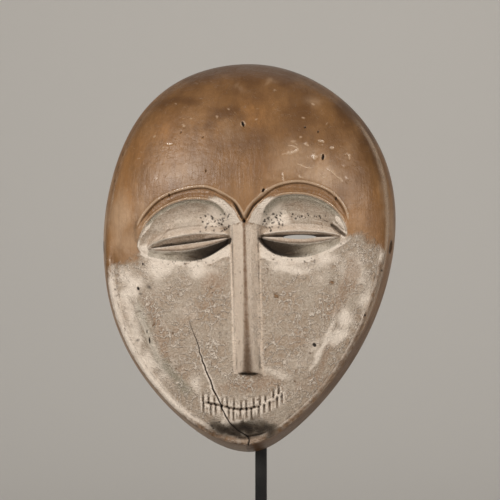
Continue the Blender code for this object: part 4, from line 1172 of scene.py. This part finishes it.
class Bench:
    """Adds nodes to one node tree and sets or links their inputs."""

    def __init__(self, tree):
        self.tree = tree

    def add(self, kind, inputs, **settings):
        node = self.tree.nodes.new(kind)
        for name, value in settings.items():
            setattr(node, name, value)
        for key, value in inputs.items():
            if isinstance(value, bpy.types.NodeSocket):
                self.tree.links.new(value, node.inputs[key])
            else:
                node.inputs[key].default_value = value
        return node

    def sum(self, operation, first, second=0.0, clamp=False):
        values = {0: first, 1: second}
        return self.add("ShaderNodeMath", values, operation=operation, use_clamp=clamp).outputs[0]

    def rise(self, value, low, high):
        ends = {"Value": value, "From Min": low, "From Max": high}
        return self.add("ShaderNodeMapRange", ends, interpolation_type="SMOOTHSTEP").outputs["Result"]

    def lay(self, share, under, over):
        """One colour laid over another, by this share."""
        return self.add("ShaderNodeMix", {0: share, 6: under, 7: over}, data_type="RGBA").outputs[2]

    def share(self, name):
        return self.add("ShaderNodeAttribute", {}, attribute_name=name).outputs["Fac"]

    def stretched(self, place, stretch):
        """The place with its height divided by the stretch, which draws a pattern out upwards."""
        squeeze = self.add("ShaderNodeCombineXYZ", {0: 1.0, 1: 1.0, 2: self.sum("DIVIDE", 1.0, stretch)})
        return self.add("ShaderNodeVectorMath", {0: place, 1: squeeze.outputs[0]}, operation="MULTIPLY").outputs[0]

    def group(self, tree, **inputs):
        node = self.add("ShaderNodeGroup", {}, node_tree=tree)
        for name, value in inputs.items():
            socket = node.inputs[name.replace("_", " ").capitalize()]
            if isinstance(value, bpy.types.NodeSocket):
                self.tree.links.new(value, socket)
            else:
                socket.default_value = value
        return node


def new_group(name, inputs, outputs):
    """An empty node group with these inputs and outputs, and its bench."""
    tree = bpy.data.node_groups.new(name, "ShaderNodeTree")
    for socket_name, value in inputs.items():
        kind = "NodeSocketFloat" if isinstance(value, float) else "NodeSocketVector"
        socket = tree.interface.new_socket(socket_name, in_out="INPUT", socket_type=kind)
        socket.default_value = value
    for socket_name in outputs:
        tree.interface.new_socket(socket_name, in_out="OUTPUT", socket_type="NodeSocketFloat")
    bench = Bench(tree)
    return tree, bench, bench.add("NodeGroupInput", {}).outputs, bench.add("NodeGroupOutput", {}).inputs


def patches_group():
    """Uneven patches: a mask that covers about this share of the surface, and its height."""
    inputs = {"Place": (0.0, 0.0, 0.0), "Size": 10.0, "Cover": 0.5, "Softness": 0.1, "Detail": 4.0, "Stretch": 1.0}
    tree, bench, given, put_out = new_group("patches", inputs, ("Mask", "Height"))
    place = bench.stretched(given["Place"], given["Stretch"])
    scale = bench.sum("DIVIDE", 1000.0, given["Size"])
    noise = bench.add("ShaderNodeTexNoise", {"Vector": place, "Scale": scale, "Detail": given["Detail"],
                                             "Roughness": 0.6})
    middle = bench.sum("SUBTRACT", 0.78, bench.sum("MULTIPLY", given["Cover"], 0.56))
    low = bench.sum("SUBTRACT", middle, given["Softness"])
    high = bench.sum("ADD", middle, given["Softness"])
    bench.tree.links.new(bench.rise(noise.outputs["Fac"], low, high), put_out["Mask"])
    bench.tree.links.new(noise.outputs["Fac"], put_out["Height"])
    return tree


def specks_group():
    """Scattered round specks of about this size, on this share of the places for them."""
    inputs = {"Place": (0.0, 0.0, 0.0), "Spacing": 2.0, "Size": 0.4, "Share": 0.5}
    tree, bench, given, put_out = new_group("specks", inputs, ("Mask",))
    scale = bench.sum("DIVIDE", 1000.0, given["Spacing"])
    cells = bench.add("ShaderNodeTexVoronoi", {"Vector": given["Place"], "Scale": scale})
    edge = bench.sum("DIVIDE", given["Size"], given["Spacing"])
    dot = bench.rise(cells.outputs["Distance"], edge, bench.sum("MULTIPLY", edge, 0.4))
    tone = bench.add("ShaderNodeSeparateColor", {0: cells.outputs["Color"]}).outputs[0]
    chosen = bench.sum("LESS_THAN", tone, given["Share"])
    bench.tree.links.new(bench.sum("MULTIPLY", dot, chosen), put_out["Mask"])
    return tree


def streaks_group():
    """Thin winding lines along the surface, such as scratches or the grain's pores."""
    inputs = {"Place": (0.0, 0.0, 0.0), "Size": 10.0, "Width": 0.02, "Stretch": 8.0}
    tree, bench, given, put_out = new_group("streaks", inputs, ("Mask",))
    place = bench.stretched(given["Place"], given["Stretch"])
    scale = bench.sum("DIVIDE", 1000.0, given["Size"])
    noise = bench.add("ShaderNodeTexNoise", {"Vector": place, "Scale": scale, "Detail": 3.0})
    off_line = bench.sum("ABSOLUTE", bench.sum("SUBTRACT", noise.outputs["Fac"], 0.5))
    bench.tree.links.new(bench.rise(off_line, given["Width"], 0.0), put_out["Mask"])
    return tree


def group_named(name, make):
    return bpy.data.node_groups.get(name) or make()


def opaque(colour):
    return (*colour, 1.0)


def paint_mask(settings):
    """The mask's surface: rubbed oily wood, and clay that is thick in the cuts and thin on the cheeks, with painted
    shade and highlights.
    """
    material = bpy.data.materials.new("mask_wood")
    material.use_nodes = True
    bench = Bench(material.node_tree)
    shader = material.node_tree.nodes["Principled BSDF"]
    place = bench.add("ShaderNodeTexCoord", {}).outputs["Object"]
    patches, specks, streaks = (group_named(name, make) for name, make in GROUPS)

    def patch(size, cover, softness, detail=4.0, stretch=1.0, output="Mask"):
        return bench.group(patches, place=place, size=size, cover=cover, softness=softness, detail=detail,
                           stretch=stretch).outputs[output]

    def part_of(share, amount):
        return bench.sum("MULTIPLY", share, amount, clamp=True)

    def uneven(name, noise, amount, low, high):
        """A finish's share with its border broken up by the noise."""
        shake = bench.sum("MULTIPLY", bench.sum("SUBTRACT", noise, 0.5), amount)
        return bench.rise(bench.sum("ADD", bench.share(name), shake), low, high)

    coarse = patch(11.0, 0.5, 0.3, 5.0, output="Height")
    ragged = patch(3.2, 0.5, 0.3, 6.0, output="Height")
    crumbs = patch(0.9, 0.5, 0.16, 3.0)
    grit = patch(0.45, 0.5, 0.3, 2.0, output="Height")
    hairs = bench.group(streaks, place=place, size=16.0, width=0.0035, stretch=0.35).outputs["Mask"]
    grain = bench.group(streaks, place=place, size=2.6, width=0.06, stretch=12.0).outputs["Mask"]

    wood = bench.lay(patch(34.0, 0.5, 0.14), opaque(settings.wood), opaque(settings.wood_light))
    wood = bench.lay(part_of(uneven("warm", coarse, 0.7, 0.1, 0.8), 0.8), wood, opaque(settings.wood_orange))
    # Dark wood, and painted shade on the lower right of the side wall
    wood = bench.lay(part_of(uneven("dark_wood_and_shade", coarse, 0.9, 0.0, 0.75), 0.85), wood, opaque(settings.wood_dark_and_shade))
    wood = bench.lay(part_of(patch(9.0, 0.46, 0.12, 5.0, 5.0), 0.42), wood, opaque(settings.wood_dark_and_shade))
    # Paler wood, and painted highlights and light
    wood = bench.lay(part_of(uneven("light", coarse, 0.5, 0.1, 0.9), 0.8), wood, opaque(settings.wood_pale_and_painted_light))
    wood = bench.lay(part_of(grain, 0.1), wood, opaque(settings.wood_dark_and_shade))
    wood = bench.lay(part_of(patch(1.6, 0.14, 0.05, 4.0), 0.4), wood, opaque(settings.wood_dark_and_shade))
    wood = bench.lay(part_of(patch(1.3, 0.5, 0.2, 4.0, 2.0), 0.16), wood, opaque(settings.wood_dark_and_shade))
    wood = bench.lay(part_of(hairs, 0.22), wood, opaque(settings.wood_pale_and_painted_light))
    wood = bench.lay(part_of(bench.share("inside"), 0.6), wood, opaque(settings.wood_dark_and_shade))

    clay = bench.lay(patch(13.0, 0.5, 0.2, 5.0), opaque(settings.clay), opaque(settings.clay_warm))
    # Pale clay, and painted highlights on raised clay
    clay = bench.lay(part_of(uneven("pale_clay_and_highlight", ragged, 0.6, 0.15, 0.8), 0.95), clay, opaque(settings.clay_pale_and_highlight))
    clay = bench.lay(part_of(uneven("rubbed", coarse, 0.9, 0.1, 0.8), 0.75), clay, opaque(settings.clay_rubbed))
    clay = bench.lay(part_of(patch(6.0, 0.3, 0.14, 6.0), 0.4), clay, opaque(settings.clay_rubbed))
    # Greenish clay, and painted shade
    clay = bench.lay(part_of(uneven("green_clay_and_shade", coarse, 0.4, 0.05, 0.9), 0.85), clay, opaque(settings.clay_green_and_shade))
    clay = bench.lay(part_of(uneven("lids", ragged, 0.6, 0.2, 0.9), 0.4), clay, opaque(settings.clay_rubbed))
    clay = bench.lay(part_of(uneven("pink", ragged, 0.4, 0.1, 0.9), 0.6), clay, opaque(settings.clay_pink))
    lines = bench.group(streaks, place=place, size=4.2, width=0.055, stretch=1.0).outputs["Mask"]
    crust = part_of(bench.sum("MULTIPLY", lines, patch(13.0, 0.55, 0.08, 4.0)), patch(1.8, 0.75, 0.15, 3.0))
    bare = bench.sum("SUBTRACT", bench.share("crusted"), bench.share("pale_clay_and_highlight"), clamp=True)
    crust = part_of(crust, bare)
    clay = bench.lay(part_of(crust, 0.9), clay, opaque(settings.clay_pale_and_highlight))
    clay = bench.lay(part_of(crumbs, 0.28), clay, opaque(settings.clay_pale_and_highlight))
    pits = bench.group(specks, place=place, spacing=1.3, size=0.55, share=0.35).outputs["Mask"]
    pitted = part_of(pits, bench.rise(ragged, 0.5, 0.7))
    clay = bench.lay(part_of(pitted, 0.55), clay, opaque(settings.dirt_and_shade))

    covered = uneven("clay", ragged, 0.9, 0.2, 0.75)
    flaked = part_of(covered, bench.rise(patch(5.0, 0.5, 0.3, 7.0, output="Height"), 0.24, 0.36))
    colour = bench.lay(flaked, wood, clay)
    # Worn wood, and painted highlights on the lids and the right edge
    colour = bench.lay(part_of(uneven("wear_and_highlight", ragged, 0.7, 0.3, 0.95), 0.7), colour, opaque(settings.worn_and_highlight))
    # Brown dirt, and painted shade
    colour = bench.lay(part_of(uneven("dirt_and_shade", grit, 0.7, 0.1, 0.9), 0.9), colour, opaque(settings.dirt_and_shade))
    # Near-black painted deep shade
    colour = bench.lay(part_of(bench.share("painted_deep_shade"), 0.95), colour, opaque(settings.deep_shade_colour))

    shader.inputs["Specular IOR Level"].default_value = 0.42
    bench.tree.links.new(colour, shader.inputs["Base Color"])
    rough = bench.sum("ADD", bench.sum("MULTIPLY", flaked, 0.26), bench.sum("MULTIPLY", coarse, 0.34))
    rough = bench.sum("ADD", rough, 0.24)
    rough = bench.sum("SUBTRACT", rough, bench.sum("MULTIPLY", bench.share("wear_and_highlight"), 0.25))
    rough = bench.sum("SUBTRACT", rough, bench.sum("MULTIPLY", bench.share("lids"), 0.3))
    rough = bench.sum("ADD", rough, bench.sum("MULTIPLY", bench.share("dirt_and_shade"), 0.3))
    rough = bench.sum("ADD", rough, bench.sum("MULTIPLY", bench.share("inside"), 0.3), clamp=True)
    bench.tree.links.new(rough, shader.inputs["Roughness"])
    roughness_of_clay = bench.sum("ADD", bench.sum("MULTIPLY", flaked, 1.2), 0.5)
    height = bench.sum("MULTIPLY", flaked, 0.6)
    height = bench.sum("ADD", height, bench.sum("MULTIPLY", crumbs, bench.sum("MULTIPLY", flaked, 0.5)))
    height = bench.sum("ADD", height, bench.sum("MULTIPLY", crust, bench.sum("MULTIPLY", flaked, 1.6)))
    height = bench.sum("ADD", height, bench.sum("MULTIPLY", ragged, roughness_of_clay))
    height = bench.sum("SUBTRACT", height, bench.sum("MULTIPLY", pitted, flaked))
    height = bench.sum("SUBTRACT", height, bench.sum("MULTIPLY", grain, 0.05))
    height = bench.sum("SUBTRACT", height, bench.sum("MULTIPLY", hairs, 0.1))
    bump = bench.add("ShaderNodeBump", {"Strength": 0.9, "Distance": 0.0007, "Height": height})
    bench.tree.links.new(bump.outputs["Normal"], shader.inputs["Normal"])
    return material


def paint_steel(settings):
    """Satin black paint with faint dust and rubbing."""
    material = bpy.data.materials.new("black_steel")
    material.use_nodes = True
    bench = Bench(material.node_tree)
    shader = material.node_tree.nodes["Principled BSDF"]
    place = bench.add("ShaderNodeTexCoord", {}).outputs["Object"]
    patches, specks, streaks = (group_named(name, make) for name, make in GROUPS)
    dusty = bench.group(patches, place=place, size=18.0, cover=0.4, softness=0.2, detail=5.0, stretch=1.0)
    colour = bench.lay(bench.sum("MULTIPLY", dusty.outputs["Mask"], 0.35), opaque(settings.paint),
                       opaque(settings.dust))
    marks = bench.group(streaks, place=place, size=14.0, width=0.004, stretch=0.2).outputs["Mask"]
    colour = bench.lay(bench.sum("MULTIPLY", marks, 0.3), colour, opaque(settings.dust))
    bench.tree.links.new(colour, shader.inputs["Base Color"])
    rough = bench.sum("ADD", bench.sum("MULTIPLY", dusty.outputs["Height"], 0.3), 0.26)
    bench.tree.links.new(rough, shader.inputs["Roughness"])
    shader.inputs["Specular IOR Level"].default_value = 0.22
    grain = bench.group(specks, place=place, spacing=0.9, size=0.5, share=0.6).outputs["Mask"]
    bump = bench.add("ShaderNodeBump", {"Strength": 0.25, "Distance": 0.00008, "Height": grain})
    bench.tree.links.new(bump.outputs["Normal"], shader.inputs["Normal"])
    return material


def colour_setting(name, description, default):
    return bpy.props.FloatVectorProperty(
        name=name, description=description, subtype="COLOR", size=3, min=0.0, max=1.0, default=default)


class MaskSettings(bpy.types.PropertyGroup):
    """Colours of the mask's wood and clay, and of the shade and highlights painted on it."""

    wood: colour_setting("Wood", "Rubbed wood of the forehead and the rim", (0.20, 0.10, 0.037))
    wood_light: colour_setting("Light wood", "Paler wood between the blotches", (0.26, 0.138, 0.058))
    # Also used for painted highlights, and for painted light on the left side wall
    wood_pale_and_painted_light: colour_setting("Pale wood", "Scuffed and polished patches", (0.44, 0.30, 0.19))
    # Also used for painted shade on the lower right of the side wall
    wood_dark_and_shade: colour_setting("Dark wood", "Dark blotches and grain in the wood", (0.10, 0.046, 0.017))
    wood_orange: colour_setting("Orange wood", "Warm oiled patches", (0.31, 0.15, 0.052))
    clay: colour_setting("Clay", "Clay on the face", (0.34, 0.28, 0.22))
    clay_warm: colour_setting("Warm clay", "Clay with wood colour in it", (0.29, 0.21, 0.145))
    # Also used for painted highlights on raised clay
    clay_pale_and_highlight: colour_setting("Pale clay", "Thick clay", (0.74, 0.65, 0.56))
    clay_pink: colour_setting("Pinkish clay", "Clay on the nose and the lids", (0.62, 0.49, 0.38))
    clay_rubbed: colour_setting("Rubbed clay", "Clay rubbed thin over the wood", (0.27, 0.175, 0.11))
    # Also used for painted shade under the sockets' ridges and under the chin
    clay_green_and_shade: colour_setting("Greenish clay", "Clay in the sockets and under the mouth", (0.20, 0.18, 0.13))
    # Also used for painted highlights on the upper lids and the right front edge
    worn_and_highlight: colour_setting("Worn edges", "Ridges rubbed to the wood", (0.43, 0.31, 0.215))
    # Also used for the painted shade under the lids, in the partings and under the chin
    dirt_and_shade: colour_setting("Dirt", "Brown dirt in the cuts", (0.07, 0.042, 0.021))
    # Near-black painted deep shade in the crack, the pits, the slits, the deep cuts and the cord holes
    deep_shade_colour: colour_setting("Soot", "Black depths of the crack and the pits", (0.010, 0.006, 0.004))


class StandSettings(bpy.types.PropertyGroup):
    """Paint of the stand."""

    paint: colour_setting("Paint", "Black paint of the bar and foot", (0.006, 0.006, 0.0065))
    dust: colour_setting("Dust", "Dust and rubbed marks on the paint", (0.03, 0.028, 0.026))


class StageSettings(bpy.types.PropertyGroup):
    """Floor, lights and camera."""

    floor: colour_setting("Floor", "Colour of the floor and backdrop", (0.62, 0.60, 0.57))
    key_power: bpy.props.FloatProperty(
        name="Key light", description="Power of the light from the upper left", unit="POWER", default=12.0)
    fill_power: bpy.props.FloatProperty(
        name="Fill light", description="Power of the light from the right", unit="POWER", default=8.0)
    backdrop_power: bpy.props.FloatProperty(
        name="Backdrop light", description="Power of the light on the backdrop", unit="POWER", default=14.0)
    room_light: bpy.props.FloatProperty(
        name="Room light", description="Brightness of the room around the mask", default=0.07, min=0.0)
    azimuth: bpy.props.FloatProperty(
        name="Camera azimuth", description="How far the camera stands to the right of straight ahead",
        unit="ROTATION", default=math.radians(4.0))
    elevation: bpy.props.FloatProperty(
        name="Camera elevation", description="How far the camera stands above the mask's middle",
        unit="ROTATION", default=math.radians(-2.0))
    distance: bpy.props.FloatProperty(
        name="Camera distance", description="From the camera to the mask's back rim", unit="LENGTH", default=1.6)


class MASK_OT_carve(bpy.types.Operator):
    """Carves the mask and rubs it with clay"""

    bl_idname = "mask.carve"
    bl_label = "Carve the mask"

    def execute(self, context):
        mask = bpy.data.objects.new("mask_carved", mask_mesh())
        context.scene.collection.objects.link(mask)
        combine(mask, [eye_slot(0), eye_slot(1), cord_hole(-1), cord_hole(1)], "DIFFERENCE")
        mask.data.shade_smooth()
        x, y, z = coordinates(mask.data.vertices).T / MM
        store_shares(mask.data, finish_shares(x, BACK_RIM_Y - y, z - MASK_MIDDLE_Z))
        mask.data.materials.clear()
        mask.data.materials.append(paint_mask(context.scene.mask_settings))
        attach(mask, "root")
        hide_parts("mask")
        return {"FINISHED"}


class MASK_OT_build_stand(bpy.types.Operator):
    """Bends the stand's bar and paints it and its foot satin black"""

    bl_idname = "mask.build_stand"
    bl_label = "Build the stand"

    def execute(self, context):
        low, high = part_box("stand_rod")
        elbow = Vector((BAR_X * MM, (BACK_RIM_Y + TOUCH_GAP + BAR_SIDE / 2) * MM, high.z - BAR_SIDE / 2 * MM))
        foot = Vector((elbow.x, elbow.y, low.z))
        crossbar_y = low.y + BAR_SIDE / 2 * MM
        rod = bpy.data.objects.new("rod_bent", bent_bar_mesh(foot, elbow, crossbar_y))
        context.scene.collection.objects.link(rod)
        combine(rod, [crossbar_mesh((elbow.x, crossbar_y, elbow.z))], "UNION")
        round_edges(rod.data)
        rod.data.shade_smooth()
        rod.data.set_sharp_from_angle(angle=SHARP_ANGLE)
        steel = paint_steel(context.scene.stand_settings)
        for slots in (rod.data.materials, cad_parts["stand_foot"].data.materials):
            slots.clear()
            slots.append(steel)
        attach(rod, "root")
        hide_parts("stand_rod")
        return {"FINISHED"}


def stage_floor(colour):
    """A pale floor that curves up into a backdrop."""
    bm = bmesh.new()
    front = [bm.verts.new((side * STAGE_HALF_WIDTH, STAGE_FRONT_Y, 0.0)) for side in (-1, 1)]
    border = [bm.edges.new(front)]

    def carry(move):
        made = bmesh.ops.extrude_edge_only(bm, edges=border)["geom"]
        verts = [item for item in made if isinstance(item, bmesh.types.BMVert)]
        bmesh.ops.translate(bm, vec=move, verts=verts)
        border[:] = [item for item in made if isinstance(item, bmesh.types.BMEdge)]

    carry((0.0, STAGE_BACK_Y - STAGE_FRONT_Y, 0.0))
    turned = bmesh.ops.spin(bm, geom=border, cent=(0.0, STAGE_BACK_Y, STAGE_CURVE_RADIUS), axis=(1.0, 0.0, 0.0),
                            angle=math.pi / 2, steps=24)["geom_last"]
    border[:] = [item for item in turned if isinstance(item, bmesh.types.BMEdge)]
    carry((0.0, 0.0, STAGE_WALL_HEIGHT))
    bmesh.ops.remove_doubles(bm, verts=bm.verts[:], dist=1e-5)
    bmesh.ops.recalc_face_normals(bm, faces=bm.faces[:])
    for face in bm.faces:
        face.smooth = True
    mesh = new_mesh(bm, "floor")
    material = bpy.data.materials.new("pale_floor")
    material.use_nodes = True
    shader = material.node_tree.nodes["Principled BSDF"]
    shader.inputs["Base Color"].default_value = opaque(colour)
    shader.inputs["Roughness"].default_value = 0.9
    mesh.materials.append(material)
    return mesh


def add_light(context, name, place, aim, size, power, colour):
    data = bpy.data.lights.new(name, "AREA")
    data.size = size
    data.energy = power
    data.color = colour
    light = bpy.data.objects.new(name, data)
    context.scene.collection.objects.link(light)
    light.location = place
    light.rotation_euler = (aim - Vector(place)).to_track_quat("-Z", "Y").to_euler()


class MASK_OT_stage(bpy.types.Operator):
    """Sets the floor, the lights and the camera"""

    bl_idname = "mask.stage"
    bl_label = "Set the stage"

    def execute(self, context):
        settings = context.scene.stage_settings
        floor = bpy.data.objects.new("floor", stage_floor(settings.floor))
        context.scene.collection.objects.link(floor)
        middle = Vector(CAMERA_AIM) * MM
        back = Vector((math.sin(settings.azimuth) * math.cos(settings.elevation),
                       -math.cos(settings.azimuth) * math.cos(settings.elevation), math.sin(settings.elevation)))
        data = bpy.data.cameras.new("camera")
        data.sensor_width = SENSOR_WIDTH
        data.lens = settings.distance / MM / PIXEL_MM * SENSOR_WIDTH / IMAGE_PIXELS
        camera = bpy.data.objects.new("camera", data)
        context.scene.collection.objects.link(camera)
        camera.location = middle + back * settings.distance
        camera.rotation_euler = (-back).to_track_quat("-Z", "Y").to_euler()
        context.scene.camera = camera
        fronts = (("key", KEY_PLACE, settings.key_power), ("fill", FILL_PLACE, settings.fill_power))
        for name, place, power in fronts:
            add_light(context, name, place, middle, FRONT_LIGHT_SIZE, power, FRONT_LIGHT_COLOUR)
        add_light(context, "backdrop", BACKDROP_LIGHT_PLACE, Vector(BACKDROP_LIGHT_AIM), BACKDROP_LIGHT_SIZE,
                  settings.backdrop_power, BACKDROP_LIGHT_COLOUR)
        world = bpy.data.worlds.new("room")
        world.use_nodes = True
        background = world.node_tree.nodes["Background"]
        background.inputs["Color"].default_value = opaque(ROOM_COLOUR)
        background.inputs["Strength"].default_value = settings.room_light
        context.scene.world = world
        context.scene.view_settings.view_transform = "Standard"
        return {"FINISHED"}


class MASK_PT_panel(bpy.types.Panel):
    """Lists the steps and their settings"""

    bl_idname = "MASK_PT_panel"
    bl_label = "Carved mask"
    bl_space_type = "VIEW_3D"
    bl_region_type = "UI"
    bl_category = "Mask"

    def draw(self, context):
        steps = (("mask_settings", "mask.carve"), ("stand_settings", "mask.build_stand"),
                 ("stage_settings", "mask.stage"))
        for group_name, operator in steps:
            settings = getattr(context.scene, group_name)
            box = self.layout.box()
            for name in settings.__annotations__:
                box.prop(settings, name)
            box.operator(operator)


GROUPS = (("patches", patches_group), ("specks", specks_group), ("streaks", streaks_group))
SETTINGS = {"mask_settings": MaskSettings, "stand_settings": StandSettings, "stage_settings": StageSettings}
CLASSES = (*SETTINGS.values(), MASK_OT_carve, MASK_OT_build_stand, MASK_OT_stage, MASK_PT_panel)


def register():
    for cls in CLASSES:
        bpy.utils.register_class(cls)
    for name, cls in SETTINGS.items():
        setattr(bpy.types.Scene, name, bpy.props.PointerProperty(type=cls))


def unregister():
    for name in SETTINGS:
        delattr(bpy.types.Scene, name)
    for cls in reversed(CLASSES):
        bpy.utils.unregister_class(cls)


def main():
    register()
    bpy.ops.mask.carve()
    bpy.ops.mask.build_stand()
    bpy.ops.mask.stage()


if __name__ == "__main__":
    main()
